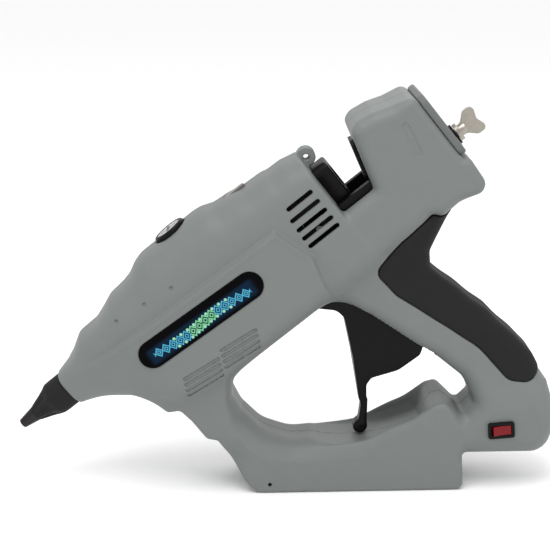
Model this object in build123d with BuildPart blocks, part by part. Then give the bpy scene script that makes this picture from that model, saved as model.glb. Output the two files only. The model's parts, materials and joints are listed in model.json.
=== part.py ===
"""Hot glue gun: two-half housing, heated barrel, trigger feed and nozzle valve.

Frame in millimetres: +Z up from the foot, nozzle towards -X, left side towards -Y.
"""

import math
import os

from build123d import *

# Gun axis, the line that the glue stick follows, in the XZ plane
axis_tilt = 38.6
axis_x = 20.5
axis_z = 179.0

# Housing
wall = 2.6
barrel_front = -191.5
barrel_rear = -1.0
barrel_half_width = 31.0
block_half_width = 27.5
handle_half_width = 18.5
guard_half_width = 24.0
block_rear = 70.0
block_back = 73.6
block_bottom = -54.5
block_step = -31.0
notch_floor = -14.5
notch_rear = 21.0
foot_front = -20.0
foot_rear = 101.0
heel_under = 22.5

handle_wall = 4.6
edge_bevel = 3.5
rib_bottom = -60.0
rib_top = 17.0
rib_reach = 40.0
rib_foot = -38.0
ledge_height = 4.0

# General fits
fit_gap = 0.05
seat_gap = 0.2
slide_gap = 0.3
loose_gap = 0.6

# Glue stick
stick_diameter = 12.0
stick_gap = 0.4
stick_bore = stick_diameter / 2 + stick_gap

# Nozzle and valve
nozzle_length = 36.5
nozzle_radius = 7.6
nozzle_tip_radius = 2.9
nozzle_bore = 1.0
cover_length = 26.0
cover_radius = 10.4
valve_bore = 2.6
ball_radius = 2.2
valve_stop = 4.5
valve_wire = 0.3
valve_turns = 5
seat_length = 4.0
seat_hole = 1.6

# Heated barrel
chamber_radius = 12.0
chamber_front = -172.0
chamber_rear = -74.0
chamber_boss_radius = 8.0
thread_radius = 6.0
thread_length = 10.0
lobe_half_width = 10.5
lobe_depth = 22.5
lobe_front = -148.0
heater_radius = 3.15
heater_spread = 5.5
heater_height = -16.5
fuse_radius = 1.6
fuse_height = -20.0
thermistor_radius = 2.2
thermistor_place = -130.0
insulation = 2.0
tail_radius = 8.4
tail_rear = -56.0
heater_sink = 2.0
heater_tail = 3.0
fuse_length = 25.0
insulator_thickness = 4.0
front_insulator_size = (18.4, 16.0, -17.4, 9.0)
rear_insulator_size = (24.0, 16.0, -32.0, 8.0)
front_insulator_place = -167.0
rear_insulator_place = -83.0
rib_thickness = 2.0

# Inlet
collar_half_width = 12.0
collar_top = 13.0
collar_bottom = -13.8
collar_depth = 9.5
collar_neck_radius = 9.8
collar_spigot = 12.0
sleeve_wall = 2.1
clip_wall = 1.2
clip_slit = 0.8
clip_width = 6.0

# Feed
rod_radius = 3.0
rod_spread = 15.5
rod_height = 4.0
frame_front = 34.5
frame_rear = 65.0
frame_plate = 2.0
frame_top = 11.0
frame_bottom = -33.0
carriage_front = 50.5
carriage_rear = 63.0
carriage_half_width = 20.0
carriage_bottom = -28.0
bar_inner = 13.5
bar_width = 5.0
bar_height = 8.0
bar_front_reach = 9.0
spring_wire = 0.45
spring_turns = 4
jaw_half_width = 6.0
jaw_pin_place = 59.0
jaw_pin_height = 10.0
jaw_pin_radius = 1.5

# Trigger
pivot_place = -21.6
pivot_height = -45.8
pivot_radius = 3.0
hub_radius = 7.0
lever_length = 32.0
lever_lean = 8.0
trigger_half_width = 11.5
trigger_foot_radius = 4.2
trigger_foot_reach = 97.0
trough_gap = 8.5
trigger_foot_angle = 6.2
trigger_travel = 16.0
trigger_pin_reach = 21.0
arm_eye = 4.0
arm_inner = 9.5
arm_outer = 13.0
drive_pin_radius = 2.0

# Rear cap and wing screw
cap_thickness = 4.5
cap_half_width = 25.0
cap_top = 14.0
cap_bottom = -30.5
cap_corner = 6.0
cap_edge = 1.5
cap_screw_spread = 18.0
cap_screw_height = -24.0
cap_screw_sink = 2.0
screw_height = -23.5
screw_radius = 2.5
insert_radius = 4.4
pad_radius = 4.0
pad_length = 3.2
washer_radius = 6.4
washer_thickness = 1.8
wing_span = 16.0
wing_thickness = 3.2
wing_collar_radius = 5.4
wing_neck_radius = 3.6
bush_flange = 9.5
bush_flange_thickness = 2.4
bush_tube = 8.2

# Dial, board and lamp
dial_place = -86.0
dial_radius = 10.0
dial_height = 2.8
dial_sink = 1.2
dial_face_radius = 7.4
shaft_radius = 3.0
platform_top = 35.5
board_height = 19.0
board_thickness = 1.6
board_half_width = 14.0
board_length = 36.0
pot_radius = 8.5
pot_height = 7.5
lens_place = -43.0
lens_length = 14.0
lens_width = 6.0
lens_proud = 0.5
lamp_radius = 2.4

# Switch
switch_x = 122.5
switch_z = 37.4
switch_tilt = 4.0
bezel_length = 15.4
bezel_height = 9.6
bezel_thickness = 1.8
rocker_length = 10.6
rocker_height = 5.6
rocker_tilt = 8.0
rocker_play = 0.7
rocker_drop = 1.0
switch_depth = 13.0
switch_cavity = 6.0
trunnion_radius = 0.8
trunnion_length = 0.9
terminal_spread = 3.6
terminal_length = 7.0

# Badge, grip, lug, vents, cord bush, screws
badge_length = 83.5
badge_height = 16.0
badge_place = -100.5
badge_drop = -10.2
badge_tilt = -2.7
badge_thickness = 1.2
badge_recess = 0.6
grip_thickness = 2.2
grip_seam = 1.2
lug_radius = 5.5
lug_half_width = 4.5
lug_hole = 1.75
lug_place = 1.5
lug_height = 20.5
vent_width = 2.6
vent_rear = -6.0
vent_heights = (7.7, 1.2, -5.2, -10.8, -16.4)
vent_lengths = (18.0, 20.5, 21.0, 21.5, 21.5)
cord_bore = 3.4
cord_bush_radius = 5.0
cord_flange = 1.6
cord_flange_thickness = 2.2
cord_height = 10.0
screw_shank = 1.5
screw_head = 3.0
screw_head_height = 2.2
screw_tip = -13.0
screw_sink = 6.0
boss_radius = 4.3
foot_hole_radius = 1.1

# Directions along the gun axis, up from it, and across
along = Vector(math.cos(math.radians(axis_tilt)), 0, math.sin(math.radians(axis_tilt)))
above = Vector(-along.Z, 0, along.X)
across = Vector(0, 1, 0)
axis_origin = Vector(axis_x, 0, axis_z)
gun_axis = Axis(axis_origin, along)
side_plane = Plane(axis_origin, x_dir=along, z_dir=(0, -1, 0))


def on_axis(place, height=0.0, sideways=0.0):
    """Point given along the gun axis, above it and across it."""
    return axis_origin + along * place + above * height + across * sideways


def cross_plane(place, height=0.0, sideways=0.0):
    """Plane square to the gun axis: x across, y up from the axis, normal to the rear."""
    return Plane(on_axis(place, height, sideways), x_dir=across, z_dir=along)


def top_plane(place, height):
    """Plane parallel to the gun axis seen from above: x along, normal up from the axis."""
    return Plane(on_axis(place, height), x_dir=along, z_dir=above)


def outline(plane, points, radii=()):
    """Face through the points on a plane, with the corners rounded that have a radius."""
    with BuildSketch(plane) as face:
        with BuildLine():
            Polyline(*points, close=True)
        make_face()
        for point, radius in zip(points, radii):
            if radius > 0:
                fillet(face.vertices().sort_by_distance(point)[0], radius)
    return face.sketch


def turned(points, mode=Mode.ADD):
    """Solid of revolution about the gun axis from (place, radius) points."""
    revolve(outline(side_plane, points), axis=gun_axis, mode=mode)


def disc(plane, radius):
    """Round face on a plane."""
    with BuildSketch(plane) as face:
        Circle(radius)
    return face.sketch


def panel(plane, width, height, corner=0.0):
    """Rectangular face centred on a plane, with rounded corners if a radius is given."""
    with BuildSketch(plane) as face:
        if corner > 0:
            RectangleRounded(width, height, corner)
        else:
            Rectangle(width, height)
    return face.sketch


def cylinder_along(start, end, radius, height=0.0, sideways=0.0, mode=Mode.ADD):
    """Cylinder parallel to the gun axis."""
    extrude(disc(cross_plane(start, height, sideways), radius), amount=end - start, mode=mode)


def slabs_along(start, end, low, high, inner, outer, mode=Mode.ADD):
    """Pair of boxes along the gun axis, one on each side, between two distances across."""
    for side in (1, -1):
        place = cross_plane(start, (low + high) / 2, side * (inner + outer) / 2)
        extrude(panel(place, outer - inner, high - low), amount=end - start, mode=mode)


def block_along(start, end, low, high, half_width, corner=0.0, mode=Mode.ADD):
    """Box along the gun axis, with its long corners rounded."""
    place = cross_plane(start, (low + high) / 2)
    extrude(panel(place, 2 * half_width, high - low, corner), amount=end - start, mode=mode)


def cross_bar(point, radius, start, end, mode=Mode.ADD):
    """Cylinder across the gun from one distance to another."""
    place = Plane((point.X, start, point.Z), x_dir=(1, 0, 0), z_dir=across)
    extrude(disc(place, radius), amount=end - start, mode=mode)


pivot = on_axis(pivot_place, pivot_height)

# Housing regions, each given as a solid that can be drawn in by an inset for the hollow

# Barrel stations: place, half width, top, bottom, corner radius
barrel_stations = (
    (barrel_front, 10.8, 10.8, -10.8, 10.4),
    (-176.0, 18.5, 16.5, -15.5, 12.0),
    (-158.0, 26.5, 23.0, -27.0, 14.0),
    (-140.0, barrel_half_width, 26.5, -46.0, 15.0),
    (-118.0, barrel_half_width, 30.0, -50.0, 15.0),
    (-107.0, barrel_half_width, platform_top, -50.0, 15.0),
    (-70.0, barrel_half_width, platform_top, -50.0, 15.0),
    (-54.0, barrel_half_width, 31.5, -50.0, 15.0),
    (barrel_rear, barrel_half_width - 1.5, 25.0, -50.0, 15.0),
)

# Rear block and neck, along and above the gun axis
block_points = (
    (-30, -46),
    (-30, notch_floor),
    (notch_rear, notch_floor),
    (31.5, 24.5),
    (38, 25.5),
    (61, 20),
    (block_rear, 14.5),
    (block_rear, block_step),
    (block_back, block_step - 3),
    (block_back, block_bottom),
    (45, block_bottom),
    (38, -46),
)
block_radii = (0, 0, 2.2, 4.5, 6, 6, 4.5, 0, 4, 11, 4, 4)

# Handle, in X and Z
handle_points = (
    (20, 118),
    (46.3, 104),
    (72.1, 86.5),
    (85.4, 79),
    (100.2, 67),
    (108, 54),
    (112, 42),
    (152, 42),
    (150.9, 61.8),
    (140.6, 81.6),
    (114.6, 105.8),
    (80.0, 132.5),
    (79.5, 142.2),
    (91.4, 167),
    (50, 174),
)
handle_radii = (0, 20, 20, 20, 12, 8, 0, 0, 20, 16, 30, 6, 8, 0, 0)

# Guard: strut, foot, bar and heel, in X and Z
guard_points = (
    (foot_front, 0),
    (foot_rear, 0),
    (foot_rear, heel_under),
    (150, heel_under),
    (157.5, 40),
    (151, 63),
    (126, 82),
    (104, 69),
    (106, 55),
    (97.5, 47.5),
    (88.5, 54.5),
    (83, 53),
    (74, 44.5),
    (40, 34.8),
    (17, 30.6),
    (1, 29.0),
    (-16, 35),
    (-28, 47),
    (-34, 58),
    (-33, 68.5),
    (-14, 89),
    (-45, 86),
    (-76, 68),
    (-89, 61.5),
    (-72, 56.5),
    (-26, 6),
)
guard_radii = (4, 4, 2, 12, 10, 0, 0, 5, 4, 3, 0, 0, 10, 30, 30, 24, 20, 14, 8, 8, 0, 0, 0, 0, 16, 5)

sweep_radius = trigger_foot_reach + trigger_foot_radius + loose_gap + slide_gap


def barrel_body(inset):
    """Barrel as a ruled loft through its stations."""
    with BuildPart() as body:
        for number, (place, half_width, top, bottom, corner) in enumerate(barrel_stations):
            shift = 0.0
            if number == 0:
                shift = inset
            if number == len(barrel_stations) - 1:
                shift = -inset
            with BuildSketch(cross_plane(place + shift, (top + bottom) / 2)):
                RectangleRounded(2 * (half_width - inset), top - bottom - 2 * inset, corner - inset)
        loft(ruled=True)
    return body.part


def slab_body(plane, points, radii, half_width, inset, edge):
    """Slab with an outline on both faces and its long edges bevelled."""
    face = outline(Plane.XY, points, radii)
    with BuildPart() as body:
        with BuildSketch(plane):
            add(face)
            if inset > 0:
                offset(amount=-inset, kind=Kind.INTERSECTION)
        extrude(amount=half_width - inset, both=True)
        ends = body.faces().filter_by(Axis.Y)
        chamfer(ends.edges(), length=max(edge - inset, 0.6))
    return body.part


def block_body(inset):
    return slab_body(side_plane, block_points, block_radii, block_half_width, inset, edge_bevel)


def handle_body(inset):
    return slab_body(Plane.XZ, handle_points, handle_radii, handle_half_width, inset, edge_bevel + 1.5)


def guard_body(inset):
    """Guard slab, with a trough in the bar for the path of the trigger foot."""
    slab = slab_body(Plane.XZ, guard_points, guard_radii, guard_half_width, inset, edge_bevel)
    reach = sweep_radius + inset
    first = math.radians(trigger_foot_angle - 3.5)
    last = math.radians(trigger_foot_angle + trigger_travel + 4.0)
    middle = (first + last) / 2
    ends = [(pivot.X + reach * math.sin(a), pivot.Z - reach * math.cos(a)) for a in (first, middle, last)]
    clear_height = 22.0
    with BuildPart() as body:
        add(slab)
        with BuildSketch(Plane.XZ):
            with BuildLine():
                ThreePointArc(*ends)
                Polyline(
                    ends[2],
                    (ends[2][0], ends[2][1] + clear_height / 2),
                    (ends[0][0], ends[0][1] + clear_height),
                    ends[0],
                )
            make_face()
        extrude(amount=trigger_half_width + trough_gap + inset, both=True, mode=Mode.SUBTRACT)
    return body.part


def grip_zone(depth, growth):
    """Skin of the handle, to a depth, inside the outline of the grip."""
    skin = handle_body(0)
    core = handle_body(depth)
    neck = outline(side_plane, block_points, block_radii)
    face = outline(Plane.XZ, grip_points, grip_radii)
    with BuildPart() as zone:
        add(skin)
        add(core, mode=Mode.SUBTRACT)
        with BuildSketch(Plane.XZ):
            add(face)
            offset(amount=growth)
        extrude(amount=2 * handle_half_width, both=True, mode=Mode.INTERSECT)
        extrude(neck, amount=2 * handle_half_width, both=True, mode=Mode.SUBTRACT)
        seam_start = on_axis(*block_points[-2])
        seam_end = on_axis(*block_points[-1])
        seam = Plane((seam_start + seam_end) / 2, x_dir=seam_end - seam_start, z_dir=(0, -1, 0))
        extrude(
            panel(seam, (seam_end - seam_start).length + 12, 2 * (grip_seam - growth)),
            amount=2 * handle_half_width,
            both=True,
            mode=Mode.SUBTRACT,
        )
    return zone.part


def badge_face(side, growth):
    """Stadium on the flat side of the barrel, facing outwards."""
    lean = math.radians(badge_tilt)
    run = along * math.cos(lean) + above * math.sin(lean)
    spot = on_axis(badge_place, badge_drop, side * barrel_half_width)
    with BuildSketch(Plane(spot, x_dir=run, z_dir=across * side)) as face:
        SlotOverall(badge_length + 2 * growth, badge_height + 2 * growth)
    return face.sketch


def coil(start, end, mean_radius, wire, turns, height=0.0, sideways=0.0):
    """Spring wire wound along the gun axis on pairs of tangent arcs, a quarter turn each."""
    steps = 4 * turns
    rise = (end - start - 2 * wire) / steps
    spots = []
    headings = []
    for number in range(steps + 1):
        angle = math.radians(90 * number)
        round_way = above * math.cos(angle) + across * math.sin(angle)
        turn_way = across * math.cos(angle) - above * math.sin(angle)
        spots.append(on_axis(start + wire + rise * number, height, sideways) + round_way * mean_radius)
        headings.append((turn_way * (mean_radius * math.pi / 2) + along * rise).normalized())
    with BuildLine() as path:
        for first, last, leave, arrive in zip(spots, spots[1:], headings, headings[1:]):
            chord = last - first
            both = leave + arrive
            square = both.dot(both) - 4
            linear = -2 * chord.dot(both)
            reach = (-linear - math.sqrt(linear * linear - 4 * square * chord.dot(chord))) / (2 * square)
            near = first + leave * reach
            far = last - arrive * reach
            joint = (near + far) / 2
            TangentArc(first, joint, tangent=leave)
            TangentArc(joint, last, tangent=far - near)
    section = disc(Plane(spots[0], z_dir=headings[0]), wire)
    sweep(section, path=path.wire())


# Places that several pieces share
lean = math.radians(lever_lean)
pin_place = pivot_place + lever_length * math.sin(lean)
pin_height = pivot_height + lever_length * math.cos(lean)
drive_point = on_axis(pin_place, pin_height)
bar_low = pin_height - bar_height / 2
bar_high = pin_height + bar_height / 2
bar_outer = bar_inner + bar_width
channel_half_width = bar_outer + 1.5
channel_floor = bar_low - 2.9
cap_rear = block_rear + cap_thickness
flange_seat = cap_rear - bush_flange_thickness
nozzle_tip = barrel_front - nozzle_length
cover_front = barrel_front - cover_length
flange_face = barrel_front + wall + 0.9
thread_end = flange_face + thread_length
seat_front = cover_front + 21.5
seat_radius = valve_bore + 0.6
lug_point = on_axis(lug_place, lug_height)
front_lean = math.atan2(10.5, 24.5 - notch_floor)
front_place = notch_rear - notch_floor * math.tan(front_lean)
front_normal = above * math.sin(front_lean) - along * math.cos(front_lean)
front_plane = Plane(on_axis(front_place), x_dir=across, z_dir=front_normal)
pad_hole = pad_radius + 1.0
trigger_slot = arm_outer + loose_gap

# Grip pad outline, in X and Z, running past the back of the handle
grip_points = (
    (92, 176),
    (78, 164),
    (61.9, 150),
    (49.0, 131),
    (60, 118.4),
    (86, 102.3),
    (109.8, 86.9),
    (127.5, 66.0),
    (138.5, 66.0),
    (150, 76),
    (168, 84),
    (110, 150),
    (95, 168),
)
grip_radii = (0, 0, 14, 7, 12, 0, 20, 5, 6, 0, 0, 0, 0)

# Housing screws: point on the gun's side and the half width of the housing there
housing_screw_spots = (
    (on_axis(-149, -30), 24.0),
    (on_axis(-62, -41), barrel_half_width - 4.0),
    (on_axis(-31, 17.5), barrel_half_width - 4.0),
    (Vector(-43, 0, 52), guard_half_width),
    (Vector(-6, 0, 14), guard_half_width),
    (Vector(91, 0, 14), guard_half_width),
    (Vector(143, 0, 36), guard_half_width),
    (on_axis(8, -36), block_half_width),
)

# Housing
with BuildPart() as solid_housing:
    add(barrel_body(0))
    add(block_body(0))
    add(handle_body(0))
    add(guard_body(0))
    cross_bar(lug_point, lug_radius, -lug_half_width, lug_half_width)

with BuildPart() as ribs:
    for place in (front_insulator_place, rear_insulator_place):
        for start in (place - rib_thickness - seat_gap, place + insulator_thickness + seat_gap):
            block_along(start, start + rib_thickness, rib_bottom, rib_top, rib_reach)
    for place in (front_insulator_place, rear_insulator_place):
        start = place - insulator_thickness
        end = place + 2 * insulator_thickness
        cylinder_along(start, end, chamber_radius + insulation, mode=Mode.SUBTRACT)
    start = rear_insulator_place - insulator_thickness
    end = rear_insulator_place + 2 * insulator_thickness
    block_along(
        start, end, -lobe_depth - 3 * insulation, chamber_radius, lobe_half_width + 9, 6, mode=Mode.SUBTRACT
    )
    block_along(start, end, rib_bottom, rib_foot, rib_reach, mode=Mode.SUBTRACT)

with BuildPart() as hollow:
    add(barrel_body(wall))
    add(block_body(wall))
    add(handle_body(handle_wall))
    add(guard_body(wall))
    add(ribs.part, mode=Mode.SUBTRACT)
    block_along(
        barrel_rear - wall,
        notch_rear + wall,
        channel_floor - wall,
        notch_floor + wall,
        channel_half_width + wall,
        mode=Mode.SUBTRACT,
    )
    for point, half_width in housing_screw_spots:
        cross_bar(point, boss_radius, -half_width, half_width, mode=Mode.SUBTRACT)
    for side in (1, -1):
        inner = side * (arm_outer + loose_gap)
        cross_bar(pivot, hub_radius, inner, side * guard_half_width, mode=Mode.SUBTRACT)
    slabs_along(
        frame_front + 3 * frame_plate,
        frame_rear - 2 * frame_plate,
        frame_bottom - ledge_height,
        frame_bottom - seat_gap,
        carriage_half_width - 1,
        rib_reach,
        mode=Mode.SUBTRACT,
    )
    for start in (dial_place - board_length / 2 + 4, dial_place + board_length / 2 - 8):
        slabs_along(
            start,
            start + 4,
            board_height - ledge_height,
            board_height - seat_gap,
            board_half_width - 2,
            rib_reach,
            mode=Mode.SUBTRACT,
        )

trigger_slot_points = (
    (13, 94),
    (13, 116),
    (30, 136),
    (56, 124),
    (90, 89),
    (80, 74),
    (45, 94),
)

with BuildPart() as openings:
    # Bar channel, bar windows, and the round openings along the gun axis
    block_along(barrel_rear, notch_rear, channel_floor, notch_floor + 1, channel_half_width)
    slabs_along(
        barrel_rear - wall - 2,
        notch_rear + 12,
        bar_low - loose_gap,
        bar_high + loose_gap,
        bar_inner - loose_gap,
        bar_outer + loose_gap,
    )
    cylinder_along(barrel_front - 1, barrel_front + wall + 1, nozzle_radius + seat_gap)
    cylinder_along(barrel_rear - wall - 1, barrel_rear + 1, collar_neck_radius + fit_gap)
    cylinder_along(notch_rear - 2, frame_front, bush_tube + fit_gap)
    cylinder_along(block_rear - wall - 1, block_rear + 1, bush_tube + fit_gap)
    cylinder_along(block_rear - wall - 1, block_rear + 1, pad_hole, screw_height)
    for spread in (cap_screw_spread, -cap_screw_spread):
        cylinder_along(
            block_rear - wall - 1, block_rear + 1, screw_shank + seat_gap, cap_screw_height, spread
        )
    # Trigger slot and trigger pin
    extrude(outline(Plane.XZ, trigger_slot_points), amount=trigger_slot, both=True)
    cross_bar(pivot, pivot_radius + fit_gap, -trigger_pin_reach - seat_gap, trigger_pin_reach + seat_gap)
    # Lug hole, vents, dial, lens and cord openings
    cross_bar(lug_point, lug_hole, -lug_half_width - 1, lug_half_width + 1)
    for height, length in zip(vent_heights, vent_lengths):
        with BuildSketch(side_plane):
            with Locations((vent_rear - length / 2, height)):
                SlotOverall(length, vent_width)
        extrude(amount=barrel_half_width + 5, both=True)
    extrude(disc(top_plane(dial_place, 26), shaft_radius + 1.2), amount=14)
    extrude(disc(top_plane(dial_place, platform_top - dial_sink), dial_radius + loose_gap), amount=10)
    extrude(
        panel(top_plane(lens_place, 22), lens_length + 2 * fit_gap, lens_width + 2 * fit_gap, 2.5),
        amount=14,
    )
    cord_plane = Plane((foot_rear - wall - 1, 0, cord_height), x_dir=across, z_dir=(1, 0, 0))
    extrude(disc(cord_plane, cord_bush_radius + fit_gap), amount=wall + 2)
    foot_hole_spot = Vector(foot_front + 7.5, 0, 5.2)
    cross_bar(foot_hole_spot, foot_hole_radius, -guard_half_width - 1, guard_half_width + 1)
    # Seats of the grip pad and the badges
    for side in (1, -1):
        extrude(badge_face(side, 0.15), amount=-badge_recess)

with BuildPart() as housing:
    add(solid_housing.part)
    add(hollow.part, mode=Mode.SUBTRACT)
    add(openings.part, mode=Mode.SUBTRACT)
    add(grip_zone(grip_thickness + 0.1, 0.15), mode=Mode.SUBTRACT)

switch_run = Vector(math.cos(math.radians(switch_tilt)), 0, math.sin(math.radians(switch_tilt)))
switch_plane = Plane((switch_x, -guard_half_width, switch_z), x_dir=switch_run, z_dir=(0, -1, 0))
switch_body_length = bezel_length - 2.2
switch_body_height = bezel_height - 1.6

with BuildPart() as left_holes:
    extrude(
        panel(switch_plane, switch_body_length + slide_gap, switch_body_height + slide_gap), amount=-3 * wall
    )
    for point, half_width in housing_screw_spots:
        cross_bar(point, screw_shank + fit_gap, screw_tip - 1, 1)

with BuildPart() as left_shell:
    add(housing.part)
    split(bisect_by=Plane.XZ, keep=Keep.TOP)
    add(left_holes.part, mode=Mode.SUBTRACT)

with BuildPart() as right_holes:
    for point, half_width in housing_screw_spots:
        seat = half_width - screw_sink
        cross_bar(point, screw_shank + seat_gap, -1, seat + 1)
        cross_bar(point, screw_head + slide_gap, seat, half_width + 12)

with BuildPart() as right_shell:
    add(housing.part)
    split(bisect_by=Plane.XZ, keep=Keep.BOTTOM)
    add(right_holes.part, mode=Mode.SUBTRACT)

# Rear cap with its screws, the stick bush and the wing screw
with BuildPart() as rear_cap:
    block_along(block_rear, cap_rear, cap_bottom, cap_top, cap_half_width, cap_corner)
    back_face = rear_cap.faces().sort_by(gun_axis)[-1]
    fillet(back_face.edges(), radius=cap_edge)
    cylinder_along(block_rear - 1, cap_rear + 1, bush_tube + fit_gap, mode=Mode.SUBTRACT)
    cylinder_along(flange_seat, cap_rear + 1, bush_flange + fit_gap, mode=Mode.SUBTRACT)
    cylinder_along(block_rear - 1, cap_rear + 1, insert_radius + fit_gap, screw_height, mode=Mode.SUBTRACT)
    for spread in (cap_screw_spread, -cap_screw_spread):
        cylinder_along(
            block_rear - 1, cap_rear + 1, screw_shank + seat_gap, cap_screw_height, spread, mode=Mode.SUBTRACT
        )
        cylinder_along(
            cap_rear - cap_screw_sink,
            cap_rear + 1,
            screw_head + seat_gap,
            cap_screw_height,
            spread,
            mode=Mode.SUBTRACT,
        )

with BuildPart() as cap_screws:
    for spread in (cap_screw_spread, -cap_screw_spread):
        cylinder_along(frame_rear - 1, cap_rear - 1, screw_shank, cap_screw_height, spread)
        head = cap_rear - cap_screw_sink
        cylinder_along(head, head + screw_head_height, screw_head, cap_screw_height, spread)

with BuildPart() as rear_bush:
    turned(
        (
            (frame_rear + frame_plate + slide_gap, stick_bore),
            (frame_rear + frame_plate + slide_gap, bush_tube),
            (flange_seat, bush_tube),
            (flange_seat, bush_flange),
            (cap_rear, bush_flange),
            (cap_rear, stick_bore + 1.6),
            (cap_rear - bush_flange_thickness / 2, stick_bore),
        )
    )

with BuildPart() as screw_insert:
    cylinder_along(block_rear + 1, cap_rear - 0.1, insert_radius, screw_height)
    cylinder_along(block_rear, cap_rear + 1, screw_radius + fit_gap, screw_height, mode=Mode.SUBTRACT)

with BuildPart() as screw_washer:
    washer_rear = cap_rear + washer_thickness
    cylinder_along(cap_rear, washer_rear, washer_radius, screw_height)
    cylinder_along(cap_rear - 1, washer_rear + 1, screw_radius + slide_gap, screw_height, mode=Mode.SUBTRACT)

pad_front = carriage_rear + slide_gap
pad_rear = pad_front + pad_length
pad_socket = 2.0
with BuildPart() as stop_pad:
    cylinder_along(pad_front, pad_rear, pad_radius, screw_height)
    cylinder_along(
        pad_rear - pad_socket, pad_rear + 1, screw_radius + fit_gap, screw_height, mode=Mode.SUBTRACT
    )

neck_start = cap_rear + washer_thickness + slide_gap
collar_end = neck_start + 2.2
wing_start = collar_end + 3.0
wing_tip = wing_start + 11.5
wing_half = wing_span / 2
wing_points = (
    (collar_end - 1, -wing_neck_radius + 0.8),
    (wing_start, -wing_neck_radius),
    (wing_start + 4.5, -wing_half),
    (wing_tip, -wing_half),
    (wing_tip - 3.0, 0.0),
    (wing_tip, wing_half),
    (wing_start + 4.5, wing_half),
    (wing_start, wing_neck_radius),
    (collar_end - 1, wing_neck_radius - 0.8),
)
wing_radii = (0, 4, 3, 2.6, 4, 2.6, 3, 4, 0)
wing_plane = Plane(on_axis(0, screw_height), x_dir=along, z_dir=(0, -1, 0))
with BuildPart() as wing_screw:
    cylinder_along(pad_rear - pad_socket + slide_gap, neck_start + 1, screw_radius, screw_height)
    cylinder_along(neck_start, collar_end, wing_collar_radius, screw_height)
    cylinder_along(collar_end - 1, wing_start + 1, wing_neck_radius, screw_height)
    extrude(outline(wing_plane, wing_points, wing_radii), amount=wing_thickness / 2, both=True)

# Nozzle, its cover and the valve inside it
nozzle_steps = (
    (cover_front, nozzle_tip_radius + 0.8),
    (cover_front + 7.0, nozzle_tip_radius + 1.7),
    (cover_front + 11.5, nozzle_radius),
)
with BuildPart() as nozzle:
    turned(
        (
            (nozzle_tip, nozzle_bore),
            (nozzle_tip, nozzle_tip_radius - 0.4),
            (nozzle_tip + 0.4, nozzle_tip_radius),
            *nozzle_steps,
            (flange_face, nozzle_radius),
            (flange_face, thread_radius),
            (thread_end, thread_radius),
            (thread_end, seat_radius),
            (seat_front, seat_radius),
            (seat_front, valve_bore),
            (cover_front + valve_stop, valve_bore),
            (cover_front + valve_stop - 2.5, nozzle_bore),
        )
    )

cover_steps = (
    (0.0, nozzle_tip_radius + 1.9),
    (7.6, nozzle_tip_radius + 4.4),
    (11.8, cover_radius - 1.5),
    (14.0, cover_radius - 0.4),
    (cover_length, cover_radius),
)
with BuildPart() as nozzle_cover:
    turned(
        [(cover_front + step, radius) for step, radius in cover_steps]
        + [(barrel_front, nozzle_radius + fit_gap)]
        + [(place, radius + fit_gap) for place, radius in reversed(nozzle_steps)]
    )

with BuildPart() as valve_seat:
    cylinder_along(seat_front, seat_front + seat_length, seat_radius - fit_gap)
    cylinder_along(seat_front - 1, seat_front + seat_length + 1, seat_hole, mode=Mode.SUBTRACT)

ball_place = seat_front - math.sqrt(ball_radius**2 - seat_hole**2) - fit_gap
with BuildPart() as valve_ball:
    with Locations(on_axis(ball_place)):
        Sphere(ball_radius)

valve_spring_radius = valve_bore - valve_wire - slide_gap
ball_contact = math.sqrt((ball_radius + valve_wire) ** 2 - valve_spring_radius**2)
valve_spring_rear = ball_place - ball_contact + valve_wire - fit_gap
with BuildPart() as valve_spring:
    coil(
        cover_front + valve_stop + fit_gap,
        valve_spring_rear,
        valve_spring_radius,
        valve_wire,
        valve_turns,
    )

# Melt chamber with its heaters and sensors
with BuildPart() as melt_chamber:
    turned(
        (
            (flange_face, 0),
            (flange_face, chamber_boss_radius),
            (chamber_front, chamber_boss_radius),
            (chamber_front, chamber_radius),
            (chamber_rear, chamber_radius),
            (chamber_rear, tail_radius),
            (tail_rear, tail_radius),
            (tail_rear, 0),
        )
    )
    block_along(lobe_front, chamber_rear, -lobe_depth, 0, lobe_half_width, 4)
    turned(
        (
            (flange_face, 0),
            (flange_face, thread_radius + fit_gap),
            (thread_end, thread_radius + fit_gap),
            (thread_end, seat_radius),
            (lobe_front, seat_radius),
            (lobe_front + 48, stick_bore),
            (tail_rear, stick_bore),
            (tail_rear, 0),
        ),
        mode=Mode.SUBTRACT,
    )
    for side in (1, -1):
        cylinder_along(
            lobe_front + heater_sink,
            chamber_rear + 1,
            heater_radius + fit_gap,
            heater_height,
            side * heater_spread,
            mode=Mode.SUBTRACT,
        )
    fuse_end = chamber_rear - fuse_length - 1
    cylinder_along(fuse_end, chamber_rear + 1, fuse_radius + fit_gap, fuse_height, mode=Mode.SUBTRACT)
    extrude(
        disc(top_plane(thermistor_place, chamber_radius - 4), thermistor_radius + fit_gap),
        amount=6,
        mode=Mode.SUBTRACT,
    )

with BuildPart() as heater_cartridges:
    for side in (1, -1):
        cylinder_along(
            lobe_front + heater_sink + 1,
            chamber_rear + heater_tail,
            heater_radius,
            heater_height,
            side * heater_spread,
        )

with BuildPart() as thermal_fuse:
    cylinder_along(chamber_rear - fuse_length, chamber_rear + heater_tail, fuse_radius, fuse_height)

with BuildPart() as thermistor:
    extrude(disc(top_plane(thermistor_place, chamber_radius - 3.8), thermistor_radius), amount=7.2)
    extrude(disc(top_plane(thermistor_place, chamber_radius + 0.3), thermistor_radius + 1.2), amount=1.4)

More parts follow.
